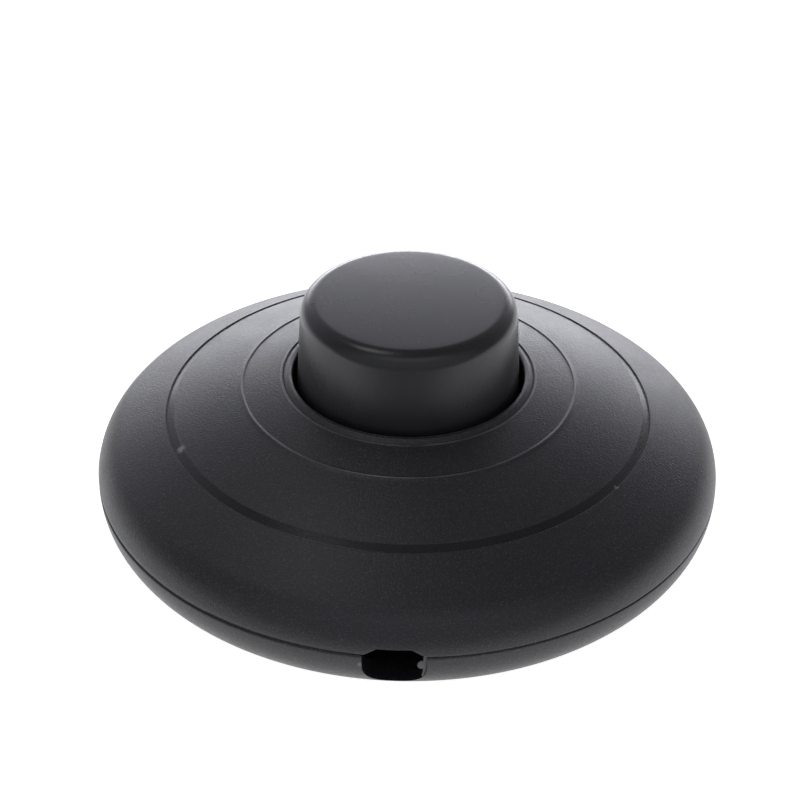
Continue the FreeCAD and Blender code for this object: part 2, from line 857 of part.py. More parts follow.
def build_contact_cross():
    """Model the four-armed bridging contact under the rotor."""
    thickness = size("cross_thickness")
    length = 2 * size("cross_arm_radius")
    width = size("cross_arm_width")
    along = block("cross_bar_along", length, width, thickness, 0, 0, cross_low)
    across = block("cross_bar_across", width, length, thickness, 0, 0, cross_low)
    middle = cylinder("cross_middle", size("rotor_hub_radius"), cross_low, thickness)
    solid = fuse("cross_solid", [along, across, middle])
    bore_radius = size("pin_radius") + size("pin_clearance")
    bore = cylinder("cross_bore", bore_radius, cross_low - 1, thickness + 2)
    return cut("contact_cross", solid, bore)


def build_live_contacts():
    """Model the two fixed contact strips and their silver tips."""
    length = size("strip_start") - size("strip_end")
    middle = -(size("strip_start") + size("strip_end")) / 2
    thickness = size("strip_thickness")
    hole_radius = size("terminal_screw_radius") + size("thread_clearance")
    tip_radius = size("tip_radius")
    tip_height = size("tip_height")
    strips = []
    tips = []
    for name, way in SIDES:
        y = way * terminal_y
        strip = block(f"{name}_strip", length, size("strip_width"), thickness, middle, y, plate_top)
        hole = cylinder(f"{name}_strip_hole", hole_radius, plate_top - 1, thickness + 2, -terminal_x, y)
        strips.append(cut(f"live_contact_{name}", strip, hole))
        tips.append(cylinder(f"{name}_tip", tip_radius, strip_top, tip_height, -terminal_y, y))
    return strips + [group("contact_tips", tips)]


def build_neutral_link():
    """Model the brass bar that carries the unswitched conductor past the switch."""
    thickness = size("strip_thickness")
    bar = block("link_bar", size("link_width"), size("link_length"), thickness, terminal_x, 0, plate_top)
    hole_radius = size("terminal_screw_radius") + size("thread_clearance")
    holes = [
        cylinder(f"{name}_link_hole", hole_radius, plate_top - 1, thickness + 2, terminal_x, way * terminal_y)
        for name, way in SIDES
    ]
    return cut("neutral_link", bar, fuse("link_holes", holes))


def slotted_screw(name, x, y, low, seat, shank, head, height):
    """Model an upright screw with a slotted head that sits on a seat."""
    stem = cylinder(f"{name}_stem", shank, low, seat - low, x, y)
    cap = cylinder(f"{name}_cap", head, seat, height, x, y)
    solid = fuse(f"{name}_solid", [stem, cap])
    slot_low = seat + height - size("slot_depth")
    slot = block(f"{name}_slot", 2 * head + 1, size("slot_width"), size("slot_depth") + 1, x, y, slot_low)
    return cut(name, solid, slot)


def build_terminals():
    """Model the four terminal screws and the square washers under their heads."""
    screws = []
    washers = []
    for name, way in SIDES:
        for word, side in (("left", -1), ("right", 1)):
            x = side * terminal_x
            y = way * terminal_y
            side_length = size("washer_side")
            height = size("washer_thickness")
            hole_radius = size("terminal_screw_radius") + size("screw_clearance")
            plate = block(f"{name}_{word}_plate", side_length, side_length, height, x, y, strip_top)
            hole = cylinder(f"{name}_{word}_washer_hole", hole_radius, strip_top - 1, height + 2, x, y)
            washers.append(cut(f"{name}_{word}_washer", plate, hole))
            screws.append(slotted_screw(
                f"{name}_{word}_terminal_screw", x, y, floor + 0.2, washer_top,
                size("terminal_screw_radius"), size("terminal_head_radius"), size("terminal_head_height"),
            ))
    return [group("terminal_washers", washers), group("terminal_screws", screws)]


def build_cord_clamp(name, way):
    """Model one clamp bar with rounded ends, screw holes and a ridge that bites the cord."""
    body = new_body(f"cord_clamp_{name}")
    half = size("clamp_length") / 2
    side = size("clamp_width") / 2
    middle = way * clamp_y
    straight = half - side
    outline = new_sketch(body, f"{name}_bar_outline", "XY_Plane", pillar_top)
    draw_path(outline, [
        Line(straight, middle - side),
        Arc(half, middle, straight, middle, side),
        Arc(straight, middle + side, straight, middle, side),
        Line(-straight, middle + side),
        Arc(-half, middle, -straight, middle, side),
        Arc(-straight, middle - side, -straight, middle, side),
    ])
    pad(body, outline, f"{name}_bar", size("clamp_thickness"))

    tooth = new_sketch(body, f"{name}_ridge_outline", "XY_Plane", pillar_top - size("clamp_ridge"))
    rib_half = size("cord_rib_length") / 2
    rib_side = size("cord_rib_width") / 2
    draw_box(tooth, -rib_half, rib_half, middle - rib_side, middle + rib_side)
    pad(body, tooth, f"{name}_ridge", size("clamp_ridge"))

    holes = new_sketch(body, f"{name}_bar_holes", "XY_Plane", clamp_top)
    for side_sign in (-1, 1):
        draw_circle(holes, side_sign * clamp_x, middle, size("clamp_screw_radius") + size("screw_clearance"))
    pocket(body, holes, f"{name}_screw_holes", size("clamp_thickness") + 1)
    return body


def build_clamp_screws():
    """Model the four screws that hold the clamp bars on their pillars."""
    screws = []
    for name, way in SIDES:
        for word, side in (("left", -1), ("right", 1)):
            screws.append(slotted_screw(
                f"{name}_{word}_clamp_screw", side * clamp_x, way * clamp_y, floor + 0.4, clamp_top,
                size("clamp_screw_radius"), size("clamp_head_radius"), size("clamp_head_height"),
            ))
    return group("cord_clamp_screws", screws)


def build_housing_screws():
    """Model the two screws that go up through the base into the cover's bosses."""
    screws = []
    seat = size("screw_recess")
    head = size("screw_head_radius")
    height = size("screw_head_height")
    for word, side in (("left", -1), ("right", 1)):
        x = side * screw_x
        length = boss_top + size("screw_bite") - seat
        stem = cylinder(f"{word}_housing_stem", size("screw_radius"), seat, length, x, 0)
        cap = cylinder(f"{word}_housing_cap", head, seat - height, height, x, 0)
        solid = fuse(f"{word}_housing_solid", [stem, cap])
        slot_low = seat - height - 1
        depth = size("slot_depth") + 1
        along = block(f"{word}_recess_along", head * 1.2, size("slot_width"), depth, x, 0, slot_low)
        across = block(f"{word}_recess_across", size("slot_width"), head * 1.2, depth, x, 0, slot_low)
        screws.append(cut(f"{word}_housing_screw", solid, fuse(f"{word}_recess", [along, across])))
    return group("housing_screws", screws)


def coil(name, radius, wire, turns, low, high):
    """Model a coil spring: a round wire bent in half turns that tilt to and fro as they climb."""
    halves = int(round(2 * turns))
    climb = (high - low - wire) / halves
    across = FreeCAD.Vector(0, 1, 0)
    bends = []
    for number in range(halves):
        side = -1 if number % 2 else 1
        base = low + wire / 2 + number * climb
        begin = FreeCAD.Vector(side * radius, 0, base)
        centre = FreeCAD.Vector(0, 0, base + climb / 2)
        axis = (begin - centre).cross(side * across)
        section = Part.Face(Part.Wire([Part.makeCircle(wire / 2, begin, across)]))
        bends.append(section.revolve(centre, axis, 180))
    return plain_shape(name, bends[0].multiFuse(bends[1:]))


def build_springs():
    """Model the return spring on the barrel and the spring that holds the rotor down."""
    middle = size("barrel_bore").value + size("barrel_wall").value / 2
    outer = coil(
        "return_spring", middle, size("return_wire").value, size("return_turns").value,
        size("barrel_top").value, ceiling.value,
    )
    inner = coil(
        "rotor_spring", size("rotor_spring_radius").value, size("rotor_wire").value,
        size("rotor_turns").value, hub_top.value, spigot_end.value,
    )
    return [outer, inner]


nodes = [build_base_shell(), build_top_cover(), build_button_cap(), build_contact_block()]
nodes += [build_ratchet_rotor(), build_drive_plunger(), build_pivot_pin(), build_contact_cross()]
nodes += build_live_contacts()
nodes.append(build_neutral_link())
nodes += build_terminals()
nodes += [build_cord_clamp(name, way) for name, way in SIDES]
nodes.append(build_clamp_screws())
nodes.append(build_housing_screws())
nodes += build_springs()
nodes.append(build_foot_pads())
doc.recompute()

for item in doc.Objects:
    if "Invalid" in item.State or "Error" in item.State:
        raise RuntimeError(f"{item.Label} did not build: {item.State}")

os.makedirs("parts", exist_ok=True)
for node in nodes:
    if node.Shape.isNull() or not node.Shape.isValid():
        raise RuntimeError(f"{node.Label} has no valid shape")
    node.Shape.exportStep(f"parts/{node.Label}.step")
    box = node.Shape.BoundBox
    print(
        f"{node.Label}: {len(node.Shape.Solids)} solids, {node.Shape.Volume:.1f} mm3, "
        f"x {box.XMin:.2f} to {box.XMax:.2f}, y {box.YMin:.2f} to {box.YMax:.2f}, "
        f"z {box.ZMin:.2f} to {box.ZMax:.2f}"
    )
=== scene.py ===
"""Looks of the lamp foot switch: smooth shells, small hardware, finishes, studio and camera."""

import logging
import math
from dataclasses import dataclass
from enum import Enum
from typing import Any, Callable, Mapping, Optional, Sequence, Union

import bpy
from mathutils import Matrix, Vector


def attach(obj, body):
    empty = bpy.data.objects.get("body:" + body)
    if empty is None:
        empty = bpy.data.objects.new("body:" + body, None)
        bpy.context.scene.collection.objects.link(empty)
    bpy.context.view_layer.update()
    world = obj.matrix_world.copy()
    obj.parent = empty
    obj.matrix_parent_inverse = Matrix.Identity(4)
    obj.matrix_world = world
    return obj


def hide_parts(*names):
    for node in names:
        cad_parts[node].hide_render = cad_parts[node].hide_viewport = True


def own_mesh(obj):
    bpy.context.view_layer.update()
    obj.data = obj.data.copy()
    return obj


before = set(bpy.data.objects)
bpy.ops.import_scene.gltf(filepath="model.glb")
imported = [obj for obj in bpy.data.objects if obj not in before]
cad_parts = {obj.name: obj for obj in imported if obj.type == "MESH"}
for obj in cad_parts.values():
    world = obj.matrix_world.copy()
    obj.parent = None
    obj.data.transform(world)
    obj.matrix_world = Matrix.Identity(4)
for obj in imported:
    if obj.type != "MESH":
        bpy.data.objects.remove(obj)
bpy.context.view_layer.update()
LOG = logging.getLogger("foot_switch")
MM = 0.001
SIDES = (-1.0, 1.0)
EDGE_BREAK = 0.15  # millimetres
WELD = 1e-7  # metres
SPUN_WELD = 2e-6  # metres
SHARP = 34.0  # degrees
CREASE = 40.0  # degrees
SHELL_STEPS = 216
WHITE = (1.0, 1.0, 1.0)
Point = tuple[float, float]
Triple = tuple[float, float, float]
Colour = Triple
Operand = Union["Value", float]
Item = bpy.types.Object
Material = bpy.types.Material
Socket = bpy.types.NodeSocket


class Arithmetic(Enum):
    """The Math node operations that shader expressions use."""

    ADD = "ADD"
    SUBTRACT = "SUBTRACT"
    MULTIPLY = "MULTIPLY"
    DIVIDE = "DIVIDE"
    POWER = "POWER"
    LARGER = "MAXIMUM"
    SMALLER = "MINIMUM"


class Body(Enum):
    """The rigid bodies that pieces ride on."""

    HOUSING = "housing"
    BUTTON = "button"


class Drive(Enum):
    """The recess in a screw's head."""

    SLOT = "slot"
    CROSS = "cross"


def operator(kind: Arithmetic, swapped: bool = False) -> Callable[["Value", Operand], "Value"]:
    """Make the method behind a sign, swapped for a plain number on its left."""
    return lambda value, other: value.combine(kind, other, swapped)


class Value:
    """One number in a shader that does arithmetic by adding Math nodes."""

    def __init__(self, paint: "Paint", socket: Socket) -> None:
        """Keep the socket and the paint that it belongs to."""
        self.paint = paint
        self.socket = socket

    def combine(self, kind: Arithmetic, other: Operand, swapped: bool = False) -> "Value":
        """Join this value to another through one Math node.

        Args:
            kind: What the node does.
            other: The second operand.
            swapped: Whether the other operand comes first.

        Returns:
            The node's result.
        """
        operands = (other, self) if swapped else (self, other)
        node = self.paint.node("ShaderNodeMath", {"operation": kind.value}, dict(enumerate(operands)))
        return Value(self.paint, node.outputs[0])

    __add__ = operator(Arithmetic.ADD)
    __radd__ = operator(Arithmetic.ADD, True)
    __sub__ = operator(Arithmetic.SUBTRACT)
    __rsub__ = operator(Arithmetic.SUBTRACT, True)
    __mul__ = operator(Arithmetic.MULTIPLY)
    __rmul__ = operator(Arithmetic.MULTIPLY, True)
    __truediv__ = operator(Arithmetic.DIVIDE)
    __rtruediv__ = operator(Arithmetic.DIVIDE, True)
    __pow__ = operator(Arithmetic.POWER)
    __rpow__ = operator(Arithmetic.POWER, True)

    def ramp(self, start: float, end: float) -> "Value":
        """Return 0 at the start value and 1 at the end value, straight between them."""
        return ((self - start) / (end - start)).clipped()

    def clipped(self) -> "Value":
        """Keep the value between 0 and 1."""
        return self.combine(Arithmetic.LARGER, 0.0).combine(Arithmetic.SMALLER, 1.0)


class Paint:
    """A node tree that is being put together for a material or for the surroundings."""

    def __init__(self, tree: bpy.types.NodeTree) -> None:
        """Start from an empty tree."""
        self.tree = tree
        self.tree.nodes.clear()

    def node(
        self,
        kind: str,
        settings: Optional[Mapping[str, Any]] = None,
        sockets: Optional[Mapping[Union[str, int], Any]] = None,
    ) -> bpy.types.Node:
        """Add one node.

        Args:
            kind: Blender's name for the node's type.
            settings: Attributes that are set first; stops gives a ramp's places and colours.
            sockets: Values or links for the inputs, by name or number.

        Returns:
            The new node.
        """
        node = self.tree.nodes.new(kind)
        for key, setting in (settings or {}).items():
            if key != "stops":
                setattr(node, key, setting)
                continue
            elements = node.color_ramp.elements
            while len(elements) < len(setting):
                elements.new(1.0)
            for element, (place, colour) in zip(elements, setting):
                element.position = place
                element.color = (*colour, 1.0)
        for key, feed in (sockets or {}).items():
            socket = node.inputs[key]
            if isinstance(feed, Value):
                self.tree.links.new(feed.socket, socket)
            elif isinstance(feed, Socket):
                self.tree.links.new(feed, socket)
            else:
                socket.default_value = feed
        return node

    def place(self) -> Socket:
        """Return the object's own coordinates."""
        return self.node("ShaderNodeTexCoord").outputs["Object"]

    def noise(self, size: float, detail: float, stretch: Optional[Triple] = None) -> Value:
        """Add soft noise.

        Args:
            size: The size of its features in metres.
            detail: The number of finer layers.
            stretch: Scale factors that stretch the pattern along the axes.

        Returns:
            The noise, about 0.5 on average.
        """
        where = self.place()
        if stretch is not None:
            where = self.node("ShaderNodeMapping", {}, {"Vector": where, "Scale": stretch}).outputs[0]
        sockets = {"Vector": where, "Scale": 1.0 / size, "Detail": detail}
        return Value(self, self.node("ShaderNodeTexNoise", {}, sockets).outputs[0])

    def cells(self, size: float) -> Value:
        """Add rounded pits of a size in metres, from 0 at each middle."""
        sockets = {"Vector": self.place(), "Scale": 1.0 / size}
        return Value(self, self.node("ShaderNodeTexVoronoi", {"feature": "F1"}, sockets).outputs["Distance"])

    def spot(self, centre: Vector, radius: float) -> Value:
        """Return a soft round mask.

        Args:
            centre: The middle of the spot in metres.
            radius: Where the mask has faded out.

        Returns:
            1 at the middle and 0 outside the radius.
        """
        settings = {"operation": "DISTANCE"}
        distance = self.node("ShaderNodeVectorMath", settings, {0: self.place(), 1: centre}).outputs["Value"]
        return (1.0 - Value(self, distance) / radius).clipped()

    def band(self, inner: float, outer: float, blur: float) -> Value:
        """Return a mask of the ring between two distances from the upright axis.

        Args:
            inner: The ring's inner radius in metres.
            outer: Its outer radius.
            blur: The width over which its edges fade.

        Returns:
            1 in the ring and 0 elsewhere.
        """
        level = {0: self.place(), 1: (1.0, 1.0, 0.0)}
        flat = self.node("ShaderNodeVectorMath", {"operation": "MULTIPLY"}, level).outputs["Vector"]
        length = self.node("ShaderNodeVectorMath", {"operation": "LENGTH"}, {0: flat})
        reach = Value(self, length.outputs["Value"])
        return ((reach - inner) / blur).clipped() * ((outer - reach) / blur).clipped()

    def mix(self, share: Value, first: Any, second: Any) -> Socket:
        """Mix two colours by a share of the second."""
        colours = [(*item, 1.0) if isinstance(item, tuple) else item for item in (first, second)]
        settings = {"data_type": "RGBA"}
        return self.node("ShaderNodeMix", settings, {0: share, 6: colours[0], 7: colours[1]}).outputs[2]

    def bump(self, height: Value, depth: float, strength: float) -> Socket:
        """Return a normal that is tilted by a height of a depth in metres."""
        sockets = {"Height": height, "Distance": depth, "Strength": strength}
        return self.node("ShaderNodeBump", {}, sockets).outputs[0]

    def surface(self, sockets: Mapping[str, Any]) -> None:
        """Close the tree with a Principled shader."""
        shader = self.node("ShaderNodeBsdfPrincipled", {}, sockets)
        self.node("ShaderNodeOutputMaterial", {}, {"Surface": shader.outputs[0]})


def new_material(name: str) -> tuple[Material, Paint]:
    """Make a material with an empty node tree.

    Args:
        name: The finish's name.

    Returns:
        The material and the paint that fills it.
    """
    material = bpy.data.materials.new(name)
    material.use_nodes = True
    return material, Paint(material.node_tree)


@dataclass(frozen=True)
class Nick:
    """A small knock that shows pale plastic."""

    turn: float
    radius: float
    height: float
    size: float

    def centre(self) -> Vector:
        """Return its place on the cover in metres."""
        angle = math.radians(self.turn)
        return Vector((self.radius * math.cos(angle), self.radius * math.sin(angle), self.height)) * MM


@dataclass(frozen=True)
class Ring:
    """A ring on the cover, in millimetres: smoother and painted darker as shade in the sunk ring, painted
    paler as highlights on the ridge's crest and the hole's lip.
    """

    inner: float
    outer: float
    blur: float

    def mask(self, paint: Paint) -> Value:
        """Return 1 in the ring and 0 elsewhere."""
        return paint.band(self.inner * MM, self.outer * MM, self.blur * MM)


@dataclass(frozen=True)
class GrainedPlastic:
    """Charcoal moulding with the fine grain of a spark-eroded mould, with painted glints on the grain,
    painted shade in the sunk ring and painted highlights on pale rings.
    """

    dark: Colour
    light: Colour
    roughness: float
    grain: float
    depth: float
    strength: float
    nicks: tuple[Nick, ...] = ()
    # Pale colour for knocks, which are real wear, and for rings painted pale as highlights.
    wear_and_highlight: Colour = (0.2, 0.2, 0.21)
    # Near-black colour that paints shade into the sunk ring.
    groove_shade: Colour = (0.003, 0.003, 0.0035)
    # The sunk ring: smoother and less bumpy, and painted darker as shade.
    polished_and_shaded: Optional[Ring] = None
    # Colour of painted glints, pale specks on the grain's peaks.
    glint: Optional[Colour] = None
    # Rings painted pale as highlights on the ridge's crest and the hole's lip.
    rubbed_and_highlight: tuple[Ring, ...] = ()

    def material(self, name: str) -> Material:
        """Make the finish."""
        material, paint = new_material(name)
        fine = paint.noise(self.grain, 2.0)
        coarse = paint.noise(self.grain * 1.9, 2.0)
        pits = paint.cells(self.grain * 1.6)
        patches = paint.noise(self.grain * 30.0, 3.0)
        height = fine * 0.5 + coarse * 0.35 + pits * 0.25
        share = (patches * 0.5 + fine * 0.9 - 0.2).clipped()
        rough = self.roughness + (patches - 0.5) * 0.1 + (coarse - 0.5) * 0.2
        if self.polished_and_shaded is not None:
            polish_and_shade = self.polished_and_shaded.mask(paint)
            height = height * (1.0 - polish_and_shade * 0.85)
            rough = rough - polish_and_shade * 0.12
            share = share * (1.0 - polish_and_shade)
        colour = paint.mix(share, self.dark, self.light)
        # Painted glints: pale specks on the grain's peaks stand in for its sparkle.
        if self.glint is not None:
            colour = paint.mix(fine.ramp(0.56, 0.78) * 0.8, colour, self.glint)
        # Painted shade: the sunk ring is darkened towards a near-black colour.
        if self.polished_and_shaded is not None:
            colour = paint.mix(polish_and_shade * 0.7, colour, self.groove_shade)
        # Painted highlights: pale lines on the ridge's crest and the hole's lip.
        for ring in self.rubbed_and_highlight:
            mark = (ring.mask(paint) * (patches * 1.1 - 0.2)).clipped()
            colour = paint.mix(mark, colour, self.wear_and_highlight)
        for nick in self.nicks:
            mark = (paint.spot(nick.centre(), nick.size * MM) * (coarse * 3.2)).clipped()
            colour = paint.mix(mark, colour, self.wear_and_highlight)
        paint.surface({
            "Base Color": colour,
            "Roughness": rough,
            "Normal": paint.bump(height, self.depth, self.strength),
        })
        return material


@dataclass(frozen=True)
class SatinPlastic:
    """Smooth moulding with faint flow marks and rubbed patches."""

    dark: Colour
    light: Colour
    roughness: float
    grain: float
    depth: float

    def material(self, name: str) -> Material:
        """Make the finish."""
        material, paint = new_material(name)
        fine = paint.noise(self.grain, 2.0)
        rubbed_and_highlight = paint.noise(self.grain * 40.0, 4.0)
        flow = paint.noise(self.grain * 14.0, 2.0, (1.0, 1.0, 0.12))
        colour = paint.mix((rubbed_and_highlight * 0.7 + flow * 0.3).clipped(), self.dark, self.light)
        rough = self.roughness + (rubbed_and_highlight - 0.5) * 0.12 + (flow - 0.5) * 0.06
        paint.surface({
            "Base Color": colour,
            "Roughness": rough,
            "Normal": paint.bump(fine, self.depth, 0.35),
        })
        return material


@dataclass(frozen=True)
class Metal:
    """Metal with drawn or rolled lines and a dull film in patches."""

    bright: Colour
    dull: Colour
    roughness: float
    lines: Triple = (1.0, 1.0, 1.0)

    def material(self, name: str) -> Material:
        """Make the finish."""
        material, paint = new_material(name)
        drawn = paint.noise(0.00012, 2.0, self.lines)
        film = paint.noise(0.0011, 4.0)
        share = (film * 1.6 - 0.45).clipped()
        paint.surface({
            "Base Color": paint.mix(share, self.bright, self.dull),
            "Metallic": 1.0,
            "Roughness": self.roughness + drawn * 0.14 + share * 0.1,
            "Normal": paint.bump(drawn, 0.000006, 0.4),
        })
        return material


def clear() -> None:
    """Leave edit mode and deselect everything."""
    if bpy.context.object is not None and bpy.context.object.mode != "OBJECT":
        bpy.ops.object.mode_set(mode="OBJECT")
    bpy.ops.object.select_all(action="DESELECT")


def take(*objects: Item) -> Item:
    """Select objects and make the first one active.

    Args:
        objects: The objects to work on.

    Returns:
        The active object.
    """
    clear()
    for item in objects:
        item.select_set(True)
    bpy.context.view_layer.objects.active = objects[0]
    return objects[0]


def added(name: str) -> Item:
    """Name the object that was just added and apply its place and turn.

    Args:
        name: The new object's name.

    Returns:
        The object.
    """
    item = bpy.context.object
    item.name = name
    bpy.ops.object.transform_apply(location=True, rotation=True, scale=True)
    return item


def modify(item: Item, kind: str, **settings: Any) -> None:
    """Put a modifier on the active object and apply it.

    Args:
        item: The object.
        kind: Blender's name for the modifier's type.
        settings: The modifier's attributes.
    """
    modifier = item.modifiers.new(kind.lower(), kind)
    for key, setting in settings.items():
        setattr(modifier, key, setting)
    bpy.ops.object.modifier_apply(modifier=modifier.name)


def edit(whole: bool) -> None:
    """Enter edit mode.

    Args:
        whole: Whether all vertices start selected. Otherwise edges are picked, from none.
    """
    bpy.ops.object.mode_set(mode="EDIT")
    bpy.context.tool_settings.mesh_select_mode = (whole, not whole, False)
    bpy.ops.mesh.select_all(action="SELECT" if whole else "DESELECT")


def face_out() -> None:
    """Turn every face outwards and leave edit mode."""
    bpy.ops.mesh.select_all(action="SELECT")
    bpy.ops.mesh.normals_make_consistent(inside=False)
    bpy.ops.object.mode_set(mode="OBJECT")


def loop(name: str, corners: list[Vector]) -> Item:
    """Draw a closed line and stay in edit mode with all of it selected.

    Args:
        name: The new object's name.
        corners: Its corners in metres.

    Returns:
        The object that holds the line.
    """
    clear()
    bpy.ops.mesh.primitive_plane_add(size=MM)
    item = added(name)
    edit(True)
    bpy.ops.mesh.merge(type="CENTER")
    bpy.ops.transform.translate(value=corners[0])
    for before, after in zip(corners, corners[1:] + corners[:1]):
        bpy.ops.mesh.extrude_region_move(TRANSFORM_OT_translate={"value": after - before})
    bpy.ops.mesh.select_all(action="SELECT")
    bpy.ops.mesh.remove_doubles(threshold=WELD)
    bpy.ops.mesh.select_all(action="SELECT")
    return item


def turned(name: str, outline: Sequence[Point], steps: int) -> Item:
    """Spin a closed half section round the vertical axis.

    Args:
        name: The new object's name.
        outline: Radius and height of each corner in millimetres.
        steps: The number of faces round the axis.

    Returns:
        The turned object.
    """
    item = loop(name, [Vector((x * MM, 0.0, z * MM)) for x, z in outline])
    bpy.ops.mesh.spin(steps=steps, angle=2.0 * math.pi, center=(0.0, 0.0, 0.0), axis=(0.0, 0.0, 1.0))
    bpy.ops.mesh.select_all(action="SELECT")
    bpy.ops.mesh.remove_doubles(threshold=SPUN_WELD)
    face_out()
    return item


def prism(name: str, outline: Sequence[Point], start: float, end: float) -> Item:
    """Extrude a closed outline in X and Z along Y.

    Args:
        name: The new object's name.
        outline: The corners in millimetres.
        start: Where it begins along Y in millimetres.
        end: Where it ends.

    Returns:
        The prism.
    """
    item = loop(name, [Vector((x * MM, start * MM, z * MM)) for x, z in outline])
    bpy.ops.mesh.edge_face_add()
    bpy.ops.mesh.extrude_region_move(TRANSFORM_OT_translate={"value": (0.0, (end - start) * MM, 0.0)})
    face_out()
    return item


def post(name: str, radius: float, low: float, high: float, spot: Point) -> Item:
    """Add an upright round post with softened ends.

    Args:
        name: The new object's name.
        radius: Its radius in millimetres.
        low: The height of its foot.
        high: The height of its top.
        spot: Its place in X and Y.

    Returns:
        The post.
    """
    clear()
    middle = Vector((spot[0], spot[1], (low + high) / 2.0)) * MM
    depth = (high - low) * MM
    bpy.ops.mesh.primitive_cylinder_add(vertices=48, radius=radius * MM, depth=depth, location=middle)
    item = added(name)
    width = min(0.12, radius * 0.12, (high - low) * 0.2) * MM
    modify(item, "BEVEL", width=width, segments=2, limit_method="ANGLE")
    return item


def wind(item: Item, turns: float, rise: float, steps: int) -> None:
    """Sweep the outline in hand up a helix round the vertical axis.

    Args:
        item: The object that holds the outline.
        turns: The number of turns.
        rise: How far it climbs in millimetres.
        steps: The number of faces along it.
    """
    angle = 2.0 * math.pi * turns
    modify(
        item, "SCREW", axis="Z", angle=angle, screw_offset=rise * MM, steps=steps, render_steps=steps
    )


def close_ends(item: Item, sides: int) -> None:
    """Cap the two ends of a wound outline that has so many sides at most."""
    take(item)
    edit(False)
    bpy.ops.mesh.select_non_manifold()
    bpy.ops.mesh.fill_holes(sides=sides)
    face_out()


def carve(item: Item, cutter: Item) -> None:
    """Take a cutter away from an object and delete the cutter."""
    take(item)
    modify(item, "BOOLEAN", operation="DIFFERENCE", solver="EXACT", object=cutter)
    bpy.data.objects.remove(cutter, do_unlink=True)


def join(*objects: Item) -> Item:
    """Join objects into the first one."""
    item = take(*objects)
    bpy.ops.object.join()
    return item


def copies(name: str, model: Item, places: Sequence[Matrix]) -> Item:
    """Copy a model to places, join the copies and delete the model.

    Args:
        name: The joined object's name.
        model: The object at the origin.
        places: Where each copy goes.

    Returns:
        The joined copies, shaded smooth.
    """
    made = []
    for place in places:
        copy = model.copy()
        copy.data = model.data.copy()
        bpy.context.scene.collection.objects.link(copy)
        copy.data.transform(place)
        made.append(copy)
    bpy.data.objects.remove(model, do_unlink=True)
    item = join(*made)
    item.name = name
    smooth(item, 35.0)
    return item


def smooth(item: Item, angle: float) -> None:
    """Shade an object smooth, with edges sharper than an angle kept crisp."""
    take(item)
    bpy.ops.object.shade_smooth_by_angle(angle=math.radians(angle))
    clear()


def even(item: Item) -> None:
    """Let large faces settle the shading where small ones meet them."""
    take(item)
    modify(item, "WEIGHTED_NORMAL", keep_sharp=True)
    clear()


def soften_edges(item: Item, chosen: Callable[[Vector], bool], width: float, segments: int) -> None:
    """Bevel the crisp edges whose middle lies where a test says.

    Args:
        item: The object.
        chosen: The test on an edge's middle, in millimetres.
        width: The bevel's width in millimetres.
        segments: The number of faces across it.
    """
    take(item)
    edit(False)
    bpy.ops.mesh.edges_select_sharp(sharpness=math.radians(SHARP))
    bpy.ops.object.mode_set(mode="OBJECT")
    mesh = item.data
    for edge in mesh.edges:
        ends = [mesh.vertices[number].co for number in edge.vertices]
        if edge.select and not chosen((ends[0] + ends[1]) / (2.0 * MM)):
            edge.select = False
    bpy.ops.object.mode_set(mode="EDIT")
    bpy.ops.mesh.bevel(offset=width * MM, segments=segments, clamp_overlap=True)
    bpy.ops.object.mode_set(mode="OBJECT")


def bow(centre: Point, radius: float, first: float, last: float, count: int) -> list[Point]:
    """Return points along an arc.

    Args:
        centre: The middle of the arc.
        radius: Its radius.
        first: The angle of its first point in degrees.
        last: The angle of its last point.
        count: The number of points.

    Returns:
        The points, both ends among them.
    """
    points = []
    for number in range(count):
        angle = math.radians(first + (last - first) * number / (count - 1))
        points.append((centre[0] + radius * math.cos(angle), centre[1] + radius * math.sin(angle)))
    return points


def coat(item: Item, material: Material) -> None:
    """Give an object one material all over."""
    item.data.materials.clear()
    item.data.materials.append(material)


def settle(item: Item, material: Material, body: Body, slot: str, *nodes: str) -> None:
    """Dress a finished piece and make it ride on a body and stand for CAD nodes.

    Args:
        item: The piece.
        material: Its finish.
        body: The body it moves with.
        slot: The name of a material slot for it; not used.
        nodes: The nodes it replaces.
    """
    coat(item, material)
    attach(item, body.value)
    if nodes:
        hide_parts(*nodes)
    LOG.info("%s rides on %s", item.name, body.value)


